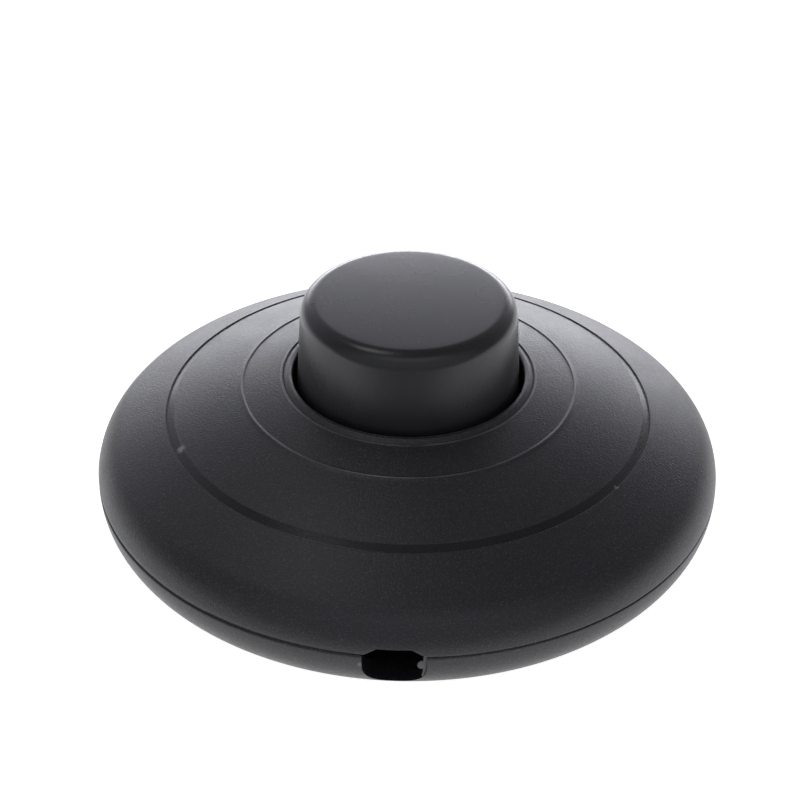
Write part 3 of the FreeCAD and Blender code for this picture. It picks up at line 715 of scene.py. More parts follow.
@dataclass
class Shells:
    """Sizes that the cover and the base share, in millimetres."""

    rim: float = 32.0
    parting: float = 5.8
    seam: float = 0.15
    wall: float = 2.0
    outlet_half: float = 3.05
    outlet_floor: float = 1.7
    outlet_corner: float = 2.75
    notch_half: float = 1.65
    notch_height: float = 0.9
    outlet_inner: float = 25.8
    outlet_outer: float = 34.0
    mouth_half: float = 3.6
    mouth_inner: float = 30.0
    mouth_top: float = 7.0
    mouth_break: float = 0.14
    screw_x: float = 22.0
    boss_top: float = 7.2

    def seam_edge(self, way: float) -> list[Point]:
        """Return the softened edge of a shell from the parting line out, up or down by the way."""
        rounding = ((self.seam, 0.0), (0.05, 0.09), (0.008, 0.125))
        return [(self.rim - inset, self.parting + way * rise) for inset, rise in rounding]

    def outlet_outline(self) -> list[Point]:
        """Return the outline of a cord outlet, cut through both shells."""
        corner = self.outlet_corner
        side = self.outlet_half - corner
        low = self.outlet_floor + corner
        notch = self.parting + self.notch_height
        outline = bow((-side, low), corner, 180.0, 270.0, 10)
        outline += bow((side, low), corner, 270.0, 360.0, 10)
        outline += [(self.outlet_half, self.parting), (self.notch_half, notch)]
        return outline + [(-self.notch_half, notch), (-self.outlet_half, self.parting)]

    def at_outlet(self, spot: Vector) -> bool:
        """Tell whether a place is at the mouth of a cord outlet."""
        across = abs(spot.x) < self.mouth_half and abs(spot.y) > self.mouth_inner
        return across and spot.z < self.mouth_top

    def cut_outlets(self, item: Item) -> None:
        """Cut both cord outlets into a shell and soften their edges."""
        outline = self.outlet_outline()
        for way in SIDES:
            ends = (way * self.outlet_inner, way * self.outlet_outer)
            carve(item, prism("outlet_cutter", outline, *ends))
        soften_edges(item, self.at_outlet, self.mouth_break, 3)


@dataclass
class Cover:
    """The domed cover with its sunk and raised rings and its button collar, in millimetres."""

    shells: Shells
    finish: GrainedPlastic
    shoulder: float = 4.7
    dome: float = 59.0
    spacing: float = 0.8
    margin: float = 0.2
    groove: float = 24.75
    groove_width: float = 0.85
    groove_depth: float = 0.16
    ridge: float = 16.95
    ridge_width: float = 0.55
    ridge_height: float = 0.12
    hole: float = 11.8
    lip: float = 0.45
    lip_rise: float = 0.06
    hole_round: float = 0.25
    hole_groove: float = 0.55
    hole_groove_depth: float = 0.14
    gape: float = 0.36
    gape_turn: float = 192.0
    gape_inner: float = 30.5
    gape_height: float = 1.2
    collar: float = 13.4
    collar_low: float = 13.0
    ledge: float = 7.1
    rebate: float = 31.0
    boss: float = 3.2
    boss_high: float = 12.0
    pilot: float = 1.5
    pilot_high: float = 11.2

    def centre(self) -> Point:
        """Return the shoulder arc's centre."""
        return (self.shells.rim - self.shoulder, self.shells.parting + self.shells.seam)

    def dome_low(self) -> float:
        """Return the height of the dome's centre."""
        x, z = self.centre()
        return z - math.sqrt((self.dome - self.shoulder) ** 2 - x * x)

    def height(self, radius: float) -> float:
        """Return the dome's height at a radius."""
        return self.dome_low() + math.sqrt(self.dome ** 2 - radius ** 2)

    def cap(self, outer: float, inner: float) -> list[Point]:
        """Return points over the dome from one radius in to another."""
        count = max(2, int(round((outer - inner) / self.spacing)))
        return self.trace(outer, *[((inner - outer) * number / count, 0.0) for number in range(count + 1)])

    def trace(self, radius: float, *steps: Point) -> list[Point]:
        """Return points at steps from a radius, each with its rise above the dome."""
        return [(radius + step, self.height(radius + step) + rise) for step, rise in steps]

    def ridge_ends(self) -> Point:
        """Return the raised ring's outer and inner radius."""
        return (self.ridge + self.ridge_width * 0.7, self.ridge - self.ridge_width * 0.3)

    def groove_section(self) -> list[Point]:
        """Return the section of the sunk ring, from its leaning outer wall in to its shallow end."""
        foot, end = self.trace(self.groove, (-0.1, -self.groove_depth), (-self.groove_width, 0.0))
        points = self.trace(self.groove, (0.1, 0.0), (0.05, -0.012), (-0.06, 0.015 - self.groove_depth))
        for share in (0.02, 0.08, 0.5, 0.94, 0.985):
            points.append((foot[0] + (end[0] - foot[0]) * share, foot[1] + (end[1] - foot[1]) * share))
        return points + self.trace(end[0], (-0.03, 0.0), (-0.08, 0.0))

    def ridge_section(self) -> list[Point]:
        """Return the section of the raised ring, from its gentle outer side in to its steep inner side."""
        outer, inner = self.ridge_ends()
        peak = self.ridge_height
        points = self.trace(outer, (0.06, 0.0), (-0.06, peak * 0.12))
        points += self.trace(self.ridge, (0.08, peak * 0.84), (0.03, peak * 0.95))
        points += self.trace(self.ridge, (-0.02, peak * 0.93), (-0.06, peak * 0.7))
        return points + self.trace(inner, (0.03, peak * 0.12), (-0.05, 0.0))

    def rim_section(self) -> list[Point]:
        """Return the section of the narrow groove round the hole and the raised lip."""
        edge = self.hole + self.lip
        ring = edge + self.hole_groove
        top = self.height(self.hole) + self.lip_rise
        floor = self.height(ring) - self.hole_groove_depth
        corner = (self.hole + self.hole_round, top - self.hole_round)
        points = self.trace(ring, (0.1, 0.0), (0.045, -0.01), (0.01, -0.035))
        points += [(ring - 0.015, floor + 0.03), (ring - 0.06, floor + 0.012), (ring - 0.11, floor + 0.045)]
        points += [(edge + 0.07, top - 0.045), (edge + 0.02, top - 0.015), (edge - 0.05, top)]
        return points + bow(corner, self.hole_round, 90.0, 180.0, 8)

    def outline(self) -> list[Point]:
        """Return the closed half section."""
        shells = self.shells
        centre = self.centre()
        lean = math.degrees(math.atan2(centre[1] - self.dome_low(), centre[0]))
        tangent = centre[0] * self.dome / (self.dome - self.shoulder)
        inner = self.dome - shells.wall
        inner_round = self.shoulder - shells.wall
        low = math.degrees(math.acos(self.collar / inner))
        rise = math.degrees(math.asin((self.ledge - centre[1]) / inner_round))
        ridge_outer, ridge_inner = self.ridge_ends()
        outline = shells.seam_edge(1.0)
        outline += bow(centre, self.shoulder, 0.0, lean, 26)
        outline += self.cap(tangent, self.groove + self.margin)[1:]
        outline += self.groove_section()
        outline += self.cap(self.groove - self.groove_width - self.margin, ridge_outer + self.margin)
        outline += self.ridge_section()
        outline += self.cap(ridge_inner - self.margin, self.hole + self.lip + self.hole_groove + 0.25)
        outline += self.rim_section()
        outline += [(self.hole, 15.0), (self.hole, self.collar_low + EDGE_BREAK)]
        outline += [(self.hole + EDGE_BREAK, self.collar_low), (self.collar - EDGE_BREAK, self.collar_low)]
        outline += [(self.collar, self.collar_low + EDGE_BREAK)]
        outline += bow((0.0, self.dome_low()), inner, low, lean, 14)
        outline += bow(centre, inner_round, lean, rise, 10)[1:]
        return outline + [(self.rebate, self.ledge), (self.rebate, shells.parting)]

    def open_seam(self, item: Item) -> None:
        """Raise the lower edge a little on the side where the shells don't quite close."""
        for vertex in item.data.vertices:
            share = 1.0 - (vertex.co.z / MM - self.shells.parting) / self.gape_height
            turn = math.atan2(vertex.co.y, vertex.co.x) - math.radians(self.gape_turn)
            if 0.0 < share <= 1.0 and vertex.co.xy.length > self.gape_inner * MM:
                vertex.co.z += self.gape * MM * share * max(0.0, math.cos(turn))

    def build(self) -> Item:
        """Model the cover with its bosses and outlets."""
        item = turned("cover", self.outline(), SHELL_STEPS)
        self.shells.cut_outlets(item)
        self.open_seam(item)
        foot = self.shells.boss_top
        bosses = []
        for side in SIDES:
            spot = (side * self.shells.screw_x, 0.0)
            bosses.append(post("cover_boss", self.boss, foot, self.boss_high, spot))
            carve(bosses[-1], post("pilot_cutter", self.pilot, foot - 1.0, self.pilot_high, spot))
        item = join(item, *bosses)
        smooth(item, CREASE)
        return item

    def dress(self) -> None:
        """Build the cover, give it its finish and put it on the housing."""
        finish = self.finish.material("cover_grain")
        settle(self.build(), finish, Body.HOUSING, "shell_plastic", "top_cover")


@dataclass
class Base:
    """The bowl-shaped base with its lip, bosses, pillars and pegs, in millimetres."""

    shells: Shells
    finish: GrainedPlastic
    # Pale grey for the outlet flash, a painted glint.
    glint_grey: SatinPlastic
    bowl: float = 5.65
    floor: float = 1.6
    lift: float = 0.4
    foot: float = 3.05
    foot_seat: float = 0.9
    foot_spot: float = 15.5
    lip_outer: float = 30.9
    lip_top: float = 7.0
    boss: float = 4.0
    sink: float = 0.3
    recess: float = 2.4
    recess_radius: float = 2.85
    hole_radius: float = 1.6
    pillar: float = 2.2
    pillar_top: float = 5.4
    pilot: float = 1.25
    clamp_x: float = 5.4
    clamp_y: float = 22.4
    peg: float = 1.0
    peg_x: float = 14.6
    peg_y: float = 11.4
    peg_top: float = 3.7
    rib_half: float = 2.6
    rib_top_half: float = 2.4
    rib_rise: float = 0.5
    rib_width: float = 1.0

    def outline(self) -> list[Point]:
        """Return the closed half section."""
        shells = self.shells
        dip = math.asin((self.bowl - self.lift) / self.bowl)
        inner = shells.rim - shells.wall
        inner_round = self.bowl - self.floor
        outline = [(radius, self.lift) for radius in (0.0, 6.0, 12.0, 18.0, 25.6)]
        outline += bow((shells.rim - self.bowl, self.bowl), self.bowl, -math.degrees(dip), 0.0, 30)
        outline += shells.seam_edge(-1.0)[::-1] + [(self.lip_outer, shells.parting)]
        outline += [(self.lip_outer, self.lip_top - 0.2), (self.lip_outer - 0.2, self.lip_top)]
        outline += [(inner, self.lip_top), (inner, self.bowl + 0.05)]
        outline += bow((inner - inner_round, self.bowl), inner_round, 0.0, -90.0, 12)
        return outline + [((inner - inner_round) * number / 8.0, self.floor) for number in range(7, -1, -1)]

    def under(self, spot: Vector) -> bool:
        """Tell whether a place is on the flat of the underside."""
        return abs(spot.z - self.lift) < 0.05 and spot.xy.length < 27.0

    def build(self) -> Item:
        """Model the base with its outlets, screw recesses and the posts inside."""
        item = turned("base", self.outline(), SHELL_STEPS)
        self.shells.cut_outlets(item)
        root = self.floor - self.sink
        posts = []
        for side in SIDES:
            spot = (side * self.shells.screw_x, 0.0)
            boss = post("base_boss", self.boss, root, self.shells.boss_top, spot)
            for shape in (item, boss):
                carve(shape, post("recess_cutter", self.recess_radius, -1.0, self.recess, spot))
                carve(shape, post("hole_cutter", self.hole_radius, 0.0, 9.0, spot))
            posts.append(boss)
            for way in SIDES:
                spot = (side * self.clamp_x, way * self.clamp_y)
                posts.append(post("pillar", self.pillar, root, self.pillar_top, spot))
                bore = post("pilot_cutter", self.pilot, self.floor, self.pillar_top + 1.0, spot)
                carve(posts[-1], bore)
                spot = (side * self.peg_x, way * self.peg_y)
                posts.append(post("peg", self.peg, root, self.peg_top, spot))
                spot = (side * self.foot_spot, way * self.foot_spot)
                carve(item, post("seat_cutter", self.foot, -1.0, self.foot_seat, spot))
        top = self.floor + self.rib_rise
        corners = [(-self.rib_half, root), (self.rib_half, root)]
        corners += [(self.rib_top_half, top), (-self.rib_top_half, top)]
        for way in SIDES:
            low = way * self.clamp_y - self.rib_width / 2.0
            posts.append(prism("cord_rib", corners, low, low + self.rib_width))
        soften_edges(item, self.under, 0.12, 3)
        item = join(item, *posts)
        smooth(item, CREASE)
        even(item)
        return item

    def flash(self) -> Item:
        """Model the thin web of moulding flash that is left in the front outlet."""
        edge = [(3.12, 5.62), (2.72, 5.5), (2.66, 5.2), (2.72, 4.98), (2.42, 4.92)]
        edge += [(2.16, 4.66), (2.12, 4.36), (2.26, 4.08), (2.5, 3.98), (2.66, 4.04)]
        edge += [(2.64, 3.6), (2.52, 3.2), (2.66, 3.04), (3.12, 3.3)]
        item = prism("outlet_flash", edge, -31.25, -31.07)
        soften_edges(item, lambda spot: spot.x < 3.0, 0.05, 2)
        smooth(item, CREASE)
        return item

    def dress(self) -> None:
        """Build the base and its flash, give them their finishes and put them on the housing."""
        finish = self.finish.material("base_grain")
        settle(self.build(), finish, Body.HOUSING, "shell_plastic", "base_shell")
        # The flash is pale grey so that it shows as a painted glint inside the front outlet.
        settle(self.flash(), self.glint_grey.material("flash_grey"), Body.HOUSING, "shell_plastic")


@dataclass
class FootPads:
    """The four rubber feet in their seats under the base, in millimetres."""

    finish: GrainedPlastic
    spot: float
    radius: float = 3.0
    top: float = 0.9
    edge: float = 0.25

    def outline(self) -> list[Point]:
        """Return the closed half section, with a shallow dish in the tread."""
        dish = self.radius * 0.55
        outline = [(0.0, 0.08), (dish - 0.15, 0.08), (dish, 0.03), (dish + 0.15, 0.0)]
        outline += bow((self.radius - self.edge, self.edge), self.edge, -90.0, 0.0, 7)
        return outline + [(self.radius, self.top), (0.0, self.top)]

    def dress(self) -> None:
        """Turn one foot, copy it to its seats and put the set on the housing."""
        spots = [Vector((side, way, 0.0)) * self.spot * MM for side in SIDES for way in SIDES]
        model = turned("foot_model", self.outline(), 64)
        item = copies("rubber_feet", model, [Matrix.Translation(spot) for spot in spots])
        settle(item, self.finish.material("foot_rubber"), Body.HOUSING, "rubber", "foot_pads")


@dataclass
class Button:
    """The push button: a drafted cup with a crowned top and a retaining flange, in millimetres."""

    finish: SatinPlastic
    radius: float = 11.27
    guide: float = 16.82
    draft: float = 3.0
    top: float = 25.75
    edge: float = 1.75
    crown: float = 120.0
    wall: float = 1.6
    roof: float = 2.0
    flange: float = 13.0
    flange_low: float = 11.3
    flange_top: float = 12.7
    spigot: float = 4.2
    spigot_length: float = 2.5
    post_y: float = 12.9
    notch: float = 1.25

    def outline(self) -> list[Point]:
        """Return the closed half section."""
        draft = math.radians(self.draft)
        slope = math.tan(draft)
        crown_z = self.top - self.crown
        reach = self.crown - self.edge
        side = self.radius + (self.guide - crown_z) * slope - self.edge / math.cos(draft)
        spread = 1.0 + slope * slope
        rise = (side * slope + math.sqrt(reach * reach * spread - side * side)) / spread
        centre = (side - rise * slope, crown_z + rise)
        wall_x = centre[0] + self.edge * math.cos(draft)
        wall_z = centre[1] + self.edge * math.sin(draft)
        ceiling = self.top - self.roof
        inset = self.wall / math.cos(draft)
        lean = math.degrees(math.atan2(rise, centre[0]))

        def across(height: float) -> float:
            """Return the outer wall's radius at a height."""
            return wall_x + (wall_z - height) * slope

        outline = bow((0.0, crown_z), self.crown, 90.0, lean, 14)
        outline += bow(centre, self.edge, lean, self.draft, 22)[1:]
        outline += [(across(z), z) for z in (20.5, 18.5, 16.5, 14.5, 13.0)]
        outline += [(across(self.flange_top) + 0.1, self.flange_top)]
        outline += [(self.flange - EDGE_BREAK, self.flange_top), (self.flange, self.flange_top - EDGE_BREAK)]
        outline += [(self.flange, self.flange_low + EDGE_BREAK), (self.flange - EDGE_BREAK, self.flange_low)]
        outline += [(across(self.flange_low) - inset, self.flange_low)]
        outline += [(across(ceiling) - inset, ceiling - 0.6), (across(ceiling) - inset - 0.6, ceiling)]
        outline += [(self.spigot + 0.3, ceiling), (self.spigot, ceiling - 0.3)]
        outline += [(self.spigot, ceiling - self.spigot_length + 0.2)]
        outline += [(self.spigot - 0.2, ceiling - self.spigot_length), (0.0, ceiling - self.spigot_length)]
        return outline

    def build(self) -> Item:
        """Model the button and notch its flange for the guide posts."""
        item = turned("push_button", self.outline(), 180)
        for way in SIDES:
            spot = (0.0, way * self.post_y)
            cutter = post("notch_cutter", self.notch, self.flange_low - 1.0, self.flange_top + 0.25, spot)
            carve(item, cutter)
        smooth(item, CREASE)
        return item

    def dress(self) -> None:
        """Build the button, give it its finish and put it on its body."""
        finish = self.finish.material("button_satin")
        settle(self.build(), finish, Body.BUTTON, "button_plastic", "button_cap")


@dataclass
class CoilSpring:
    """A compression spring with closed end turns, in millimetres."""

    node: str
    finish: Metal
    radius: float
    wire: float
    turns: float
    low: float
    high: float
    stroke: float = 3.8
    steps: int = 44
    sides: int = 14
    closed_turns: float = 0.75
    closed_pitch: float = 1.04

    def travel(self) -> float:
        """Return how far the middle of the wire climbs in all."""
        return self.high - self.low - self.wire

    def climb(self, share: float) -> float:
        """Return how far the wire has climbed at a share of its length, slowly in its end turns."""
        dead = self.closed_turns / self.turns
        slow = self.wire * self.closed_pitch * self.closed_turns / self.travel()
        if share < dead:
            return slow * share / dead
        if share > 1.0 - dead:
            return 1.0 - slow * (1.0 - share) / dead
        return slow + (1.0 - 2.0 * slow) * (share - dead) / (1.0 - 2.0 * dead)

    def build(self) -> Item:
        """Model the wire as a ring that a Screw modifier winds up, then settle its end turns."""
        clear()
        start = Vector((self.radius, 0.0, self.low + self.wire / 2.0)) * MM
        bpy.ops.mesh.primitive_circle_add(
            vertices=self.sides, radius=self.wire / 2.0 * MM, location=start,
            rotation=(math.pi / 2.0, 0.0, 0.0),
        )
        item = added(f"{self.node}_wire")
        wind(item, self.turns, self.travel(), int(self.steps * self.turns))
        rings = len(item.data.vertices) // self.sides
        for number, vertex in enumerate(item.data.vertices):
            share = (number // self.sides) / (rings - 1)
            vertex.co.z += (self.climb(share) - share) * self.travel() * MM
        close_ends(item, self.sides)
        smooth(item, 50.0)
        return item

    def dress(self) -> None:
        """Build the spring, give it its finish, put it on the housing and give it a mesh of its own."""
        item = self.build()
        settle(item, self.finish.material(f"{self.node}_steel"), Body.HOUSING, "spring_steel", self.node)
        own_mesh(item)


@dataclass
class ScrewSet:
    """A set of like screws with round heads and a rolled thread, in millimetres."""

    node: str
    finish: Metal
    drive: Drive
    spots: tuple[Point, ...]
    seat: float
    tip: float
    shank: float
    head: float
    head_height: float
    pitch: float

    def length(self) -> float:
        """Return the length from the seat to the tip."""
        return abs(self.seat - self.tip)

    def outline(self) -> list[Point]:
        """Return the closed half section of the head and the core, with the seat at zero."""
        length = self.length()
        core = self.shank * 0.82
        dome = ((0.0, 1.0), (0.45, 1.0), (0.72, 0.94), (0.9, 0.76), (0.98, 0.5), (1.0, 0.25))
        outline = [(self.head * across, self.head_height * up) for across, up in dome]
        outline += [(self.head, 0.08), (self.head - 0.08, 0.0), (core, 0.0)]
        return outline + [(core, -length + core * 0.8), (core * 0.45, -length + 0.05), (0.0, -length)]

    def thread(self) -> Item:
        """Model the thread as a ridge that a Screw modifier winds along the core."""
        length = self.length()
        core = self.shank * 0.8
        taper = self.shank * 0.9
        corners = [(core, 0.0), (self.shank, self.pitch * 0.28), (core, self.pitch * 0.56)]
        turns = max(1.0, (length - taper - 0.9 * self.pitch) / self.pitch)
        clear()
        bpy.ops.mesh.primitive_circle_add(vertices=3, radius=MM)
        item = added("thread")
        for vertex, (x, z) in zip(item.data.vertices, corners):
            vertex.co = Vector((x, 0.0, -length + taper + z)) * MM
        wind(item, turns, self.pitch * turns, int(24 * turns))
        close_ends(item, 4)
        return item

    def model(self) -> Item:
        """Model one screw at the origin with its head up."""
        item = turned(f"{self.node}_model", self.outline(), 48)
        slotted = self.drive is Drive.SLOT
        half = 0.35 if slotted else 0.31
        narrow = half if slotted else half * 0.8
        reach = self.head + 1.0 if slotted else self.head * 0.62
        low = self.head_height * 0.5
        top = self.head_height + 0.5
        section = [(-narrow, low), (narrow, low), (half, top), (-half, top)]
        for turn in (0.0,) if slotted else (0.0, math.pi / 2.0):
            cutter = prism("recess_cutter", section, -reach, reach)
            cutter.data.transform(Matrix.Rotation(turn, 4, "Z"))
            carve(item, cutter)
        soften_edges(item, lambda spot: spot.z > 0.3 * self.head_height, 0.06, 2)
        return join(item, self.thread())

    def places(self) -> list[Matrix]:
        """Return where each screw goes, with its own turn and with its tip the right way up."""
        flip = Matrix.Rotation(math.pi if self.tip > self.seat else 0.0, 4, "X")
        places = []
        for number, (x, y) in enumerate(self.spots):
            turn = flip @ Matrix.Rotation(math.radians(17.0 + 61.0 * number), 4, "Z")
            places.append(Matrix.Translation(Vector((x, y, self.seat)) * MM) @ turn)
        return places

    def dress(self) -> None:
        """Copy the screw to its places, give the set its finish and put it on the housing."""
        item = copies(f"{self.node}_set", self.model(), self.places())
        settle(item, self.finish.material(f"{self.node}_zinc"), Body.HOUSING, "zinc_steel", self.node)


@dataclass
class Mechanism:
    """The CAD nodes inside that keep their shape and get a finish each."""

    nylon: SatinPlastic
    ivory: GrainedPlastic
    black: GrainedPlastic
    brass: Metal
    silver: Metal
    steel: Metal

    def dress(self) -> None:
        """Give every node inside its finish."""
        finishes = {
            "drive_plunger": self.nylon.material("plunger_nylon"),
            "ratchet_rotor": self.nylon.material("rotor_nylon"),
            "contact_block": self.ivory.material("block_ivory"),
            "cord_clamp_front": self.black.material("front_clamp_black"),
            "cord_clamp_rear": self.black.material("rear_clamp_black"),
            "live_contact_front": self.brass.material("front_contact_brass"),
            "live_contact_rear": self.brass.material("rear_contact_brass"),
            "neutral_link": self.brass.material("link_brass"),
            "contact_cross": self.brass.material("cross_brass"),
            "contact_tips": self.silver.material("tip_silver"),
            "terminal_washers": self.steel.material("washer_zinc"),
            "pivot_pin": self.steel.material("pin_steel"),
        }
        for node, material in finishes.items():
            coat(bpy.data.objects[node], material)
            LOG.info("%s keeps its shape", node)


@dataclass
class Studio:
    """A white sweep, a pale wall with a bright window behind it, a card in front and a soft box above."""

    size: float = 3.0
    floor_tone: float = 0.86
    floor_glow: float = 0.92
    ambient: float = 0.18
    wall: float = 0.37
    lean: float = 0.34
    window: float = 0.76
    horizon: float = 8.8
    front: float = 0.3
    card: float = 0.5
    cool: Colour = (0.96, 0.965, 1.05)
    table_edge: Point = (-0.06, -0.042)
    ceiling: Point = (0.86, 0.56)
    wall_sweep: Point = (-0.15, 0.85)
    window_sweep: Point = (0.955, 0.995)
    horizon_sweep: Point = (0.82, 0.985)
    horizon_fade: Point = (0.31, 0.05)
    front_sweep: Point = (-0.1, -0.6)
    card_sweep: Point = (-0.5, -0.85)
    card_top: Point = (0.925, 0.865)
    card_low: Point = (0.6, 0.7)
    lamp_spot: Triple = (-0.2, 0.018, 0.6)
    lamp_aim: Triple = (0.0, 0.0, 0.02)
    lamp_size: Point = (0.2, 0.18)
    lamp_power: float = 0.24

    def seen(self, paint: Paint) -> Value:
        """Return 1 for rays that show the floor, in reflections only up to the front edge of the table."""
        ray = paint.node("ShaderNodeLightPath")
        along = Value(paint, paint.node("ShaderNodeSeparateXYZ", {}, {0: paint.place()}).outputs[1])
        mirrored = Value(paint, ray.outputs["Is Glossy Ray"]) * along.ramp(*self.table_edge)
        shown = mirrored.combine(Arithmetic.LARGER, Value(paint, ray.outputs["Is Transmission Ray"]))
        return shown.combine(Arithmetic.LARGER, Value(paint, ray.outputs["Is Camera Ray"]))

    def floor(self) -> None:
        """Lay a white floor that keeps a faint shadow."""
        clear()
        bpy.ops.mesh.primitive_plane_add(size=self.size, location=(0.0, 0.0, -0.00005))
        item = added("floor")
        material, paint = new_material("white_floor")
        speckle = paint.noise(0.004, 3.0)
        tone = paint.mix(speckle * 0.1, (self.floor_tone,) * 3, (self.floor_tone * 0.97,) * 3)
        matte = paint.node("ShaderNodeBsdfDiffuse", {}, {"Color": tone})
        strength = self.seen(paint) * self.floor_glow
        glow = paint.node("ShaderNodeEmission", {}, {"Color": (*WHITE, 1.0), "Strength": strength})
        both = paint.node("ShaderNodeAddShader", {}, {0: matte.outputs[0], 1: glow.outputs[0]})
        paint.node("ShaderNodeOutputMaterial", {}, {"Surface": both.outputs[0]})
        coat(item, material)

    def surroundings(self) -> None:
        """Show the camera plain white, and light the switch by a wall, a window and a card."""
        world = bpy.data.worlds.new("white_room")
        bpy.context.scene.world = world
        world.use_nodes = True
        paint = Paint(world.node_tree)
        way = paint.node("ShaderNodeTexCoord").outputs["Generated"]
        parts = paint.node("ShaderNodeSeparateXYZ", {}, {0: way})
        sideways, depth, height = (Value(paint, parts.outputs[number]) for number in range(3))
        level = (sideways * sideways + depth * depth) ** 0.5
        facing = depth / level
        under = height.ramp(*self.ceiling)
        tilt = 1.0 - sideways / level * self.lean
        wall = facing.ramp(*self.wall_sweep) * tilt * under * self.wall
        window = facing.ramp(*self.window_sweep) * under * self.window
        low = height.ramp(*self.horizon_fade)
        horizon = facing.ramp(*self.horizon_sweep) * under * low * self.horizon
        front = facing.ramp(*self.front_sweep) * under * self.front
        card = facing.ramp(*self.card_sweep) * height.ramp(*self.card_top)
        card = card * height.ramp(*self.card_low) * self.card
        straight = Value(paint, paint.node("ShaderNodeLightPath").outputs["Is Camera Ray"])
        strength = straight + (1.0 - straight) * (self.ambient + wall + window + horizon + front + card)
        colour = paint.mix(straight, self.cool, WHITE)
        glow = paint.node("ShaderNodeBackground", {}, {"Color": colour, "Strength": strength})
        paint.node("ShaderNodeOutputWorld", {}, {"Surface": glow.outputs[0]})

    def lamp(self) -> None:
        """Hang a soft box above, a little to the left."""
        data = bpy.data.lights.new("top_box", "AREA")
        data.shape = "RECTANGLE"
        data.size, data.size_y = self.lamp_size
        data.energy = self.lamp_power
        lamp = bpy.data.objects.new("top_box", data)
        bpy.context.scene.collection.objects.link(lamp)
        lamp.location = self.lamp_spot
        aim = Vector(self.lamp_aim) - Vector(self.lamp_spot)
        lamp.rotation_euler = aim.to_track_quat("-Z", "Y").to_euler()
        lamp.visible_camera = False

    def build(self) -> None:
        """Set up the floor, the surroundings and the lamp."""
        self.floor()
        self.surroundings()
        self.lamp()


@dataclass
class Viewpoint:
    """The camera at the photograph's viewing angle, in degrees and millimetres."""

    azimuth: float = 1.8
    elevation: float = 35.2
    distance: float = 234.0
    lens: float = 100.8
    roll: float = 0.53
    centre_height: float = 5.8
    rise: float = 6.19
    shift: float = -0.84

    def build(self) -> None:
        """Add the camera and make it the scene's own."""
        azimuth = math.radians(self.azimuth)
        elevation = math.radians(self.elevation)
        centre = Vector((0.0, 0.0, self.centre_height))
        away = Vector((
            math.sin(azimuth) * math.cos(elevation),
            -math.cos(azimuth) * math.cos(elevation),
            math.sin(elevation),
        ))
        right = Vector((math.cos(azimuth), math.sin(azimuth), 0.0))
        up = away.cross(right)
        spot = centre + away * self.distance
        aim = centre + up * self.rise + right * self.shift
        data = bpy.data.cameras.new("photo_view")
        data.lens = self.lens
        data.sensor_width = 36.0
        data.clip_start = 0.01
        camera = bpy.data.objects.new("photo_view", data)
        bpy.context.scene.collection.objects.link(camera)
        roll = Matrix.Rotation(math.radians(self.roll), 3, "Z")
        turn = (aim - spot).to_track_quat("-Z", "Y").to_matrix() @ roll
        camera.matrix_world = Matrix.Translation(spot * MM) @ turn.to_4x4()
        bpy.context.scene.camera = camera


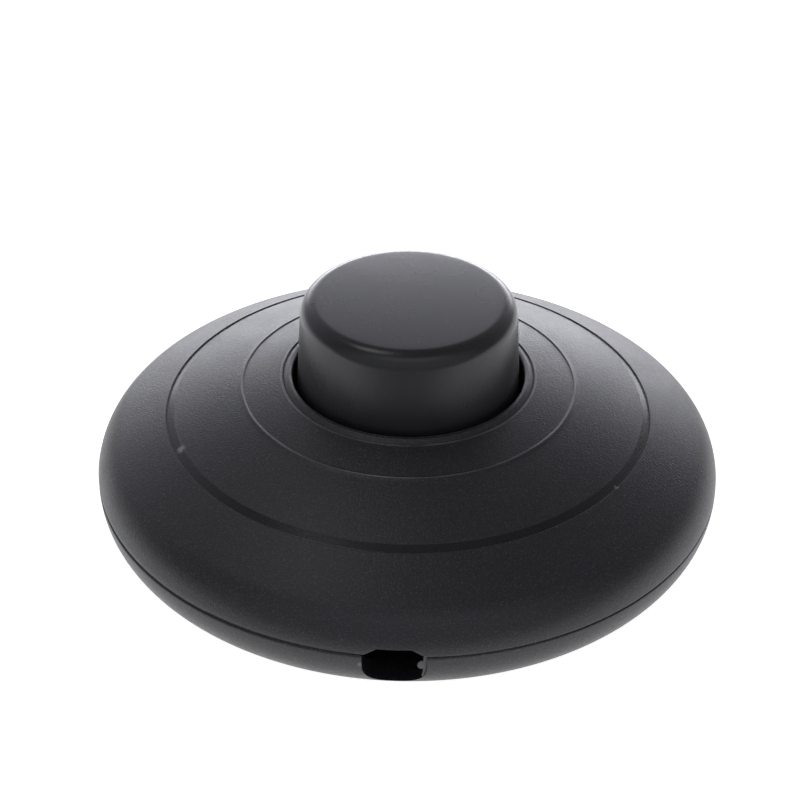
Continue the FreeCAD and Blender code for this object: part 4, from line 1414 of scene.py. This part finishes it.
def main() -> None:
    """Build every sub-assembly in order."""
    logging.basicConfig(level=logging.INFO, format="%(name)s: %(message)s")
    bpy.context.scene.view_settings.view_transform = "Standard"
    charcoal = ((0.0115, 0.0114, 0.0136), (0.0195, 0.0193, 0.0227))
    # Pale specks painted on the grain as glints.
    glint = (0.088, 0.087, 0.094)
    nicks = (Nick(-157.3, 24.15, 12.84, 0.6), Nick(-32.3, 24.7, 12.6, 0.3))
    scuff = (Nick(-95.66, 31.95, 4.7, 0.4),)
    # The sunk ring, smoother and painted darker as shade.
    polished_and_shaded = Ring(23.9, 24.72, 0.05)
    # Pale rings painted as highlights on the ridge's crest and at the hole's lip and its groove.
    rubbed_and_highlight = (Ring(16.86, 17.08, 0.06), Ring(11.8, 12.06, 0.06), Ring(12.86, 13.1, 0.06))
    grain = GrainedPlastic(
        *charcoal, roughness=0.4, grain=0.00014, depth=0.00007, strength=0.8,
        nicks=nicks, polished_and_shaded=polished_and_shaded, glint=glint, rubbed_and_highlight=rubbed_and_highlight,
    )
    base_grain = GrainedPlastic(
        *charcoal, roughness=0.38, grain=0.0002, depth=0.00008, strength=0.6, nicks=scuff, glint=glint
    )
    # Pale grey for the outlet flash, a painted glint.
    glint_grey = SatinPlastic(
        (0.085, 0.085, 0.09), (0.17, 0.17, 0.175), roughness=0.4, grain=0.0001, depth=0.00002
    )
    satin = SatinPlastic(
        (0.0125, 0.0128, 0.0145), (0.021, 0.0214, 0.024), roughness=0.27, grain=0.00016, depth=0.000014
    )
    rubber = GrainedPlastic(
        (0.014, 0.014, 0.0145), (0.022, 0.022, 0.0225), roughness=0.7, grain=0.00012, depth=0.00003,
        strength=0.4,
    )
    nylon = SatinPlastic((0.7, 0.68, 0.6), (0.8, 0.78, 0.71), roughness=0.45, grain=0.0002, depth=0.00002)
    ivory = GrainedPlastic(
        (0.62, 0.57, 0.46), (0.74, 0.69, 0.58), roughness=0.5, grain=0.00025, depth=0.00003, strength=0.4
    )
    black = GrainedPlastic(*charcoal, roughness=0.5, grain=0.00022, depth=0.00004, strength=0.4)
    zinc = Metal((0.66, 0.67, 0.7), (0.5, 0.5, 0.52), roughness=0.28)
    wire = Metal((0.55, 0.56, 0.6), (0.4, 0.4, 0.43), roughness=0.26)
    brass = Metal((0.74, 0.53, 0.22), (0.52, 0.35, 0.15), roughness=0.26, lines=(0.06, 1.0, 1.0))
    silver = Metal((0.84, 0.83, 0.8), (0.62, 0.6, 0.57), roughness=0.22)
    shells = Shells()
    base = Base(shells, base_grain, glint_grey)
    terminals = tuple((x, y) for x in (-13.8, 13.8) for y in (-4.0, 4.0))
    clamps = tuple((side * base.clamp_x, way * base.clamp_y) for side in SIDES for way in SIDES)
    housing = tuple((side * shells.screw_x, 0.0) for side in SIDES)
    Viewpoint().build()
    Cover(shells, grain).dress()
    base.dress()
    Button(satin).dress()
    FootPads(rubber, base.foot_spot).dress()
    CoilSpring("return_spring", wire, radius=7.95, wire=0.8, turns=4.5, low=14.5, high=23.75).dress()
    CoilSpring("rotor_spring", wire, radius=3.0, wire=0.5, turns=8.0, low=6.9, high=21.25).dress()
    ScrewSet(
        "terminal_screws", zinc, Drive.SLOT, terminals,
        seat=4.3, tip=1.8, shank=1.3, head=2.3, head_height=1.5, pitch=0.5,
    ).dress()
    ScrewSet(
        "cord_clamp_screws", zinc, Drive.SLOT, clamps,
        seat=7.6, tip=2.0, shank=1.2, head=2.1, head_height=1.3, pitch=0.7,
    ).dress()
    ScrewSet(
        "housing_screws", zinc, Drive.CROSS, housing,
        seat=2.4, tip=10.8, shank=1.45, head=2.7, head_height=1.7, pitch=0.95,
    ).dress()
    Mechanism(nylon, ivory, black, brass, silver, zinc).dress()
    Studio().build()


if __name__ == "__main__":
    main()
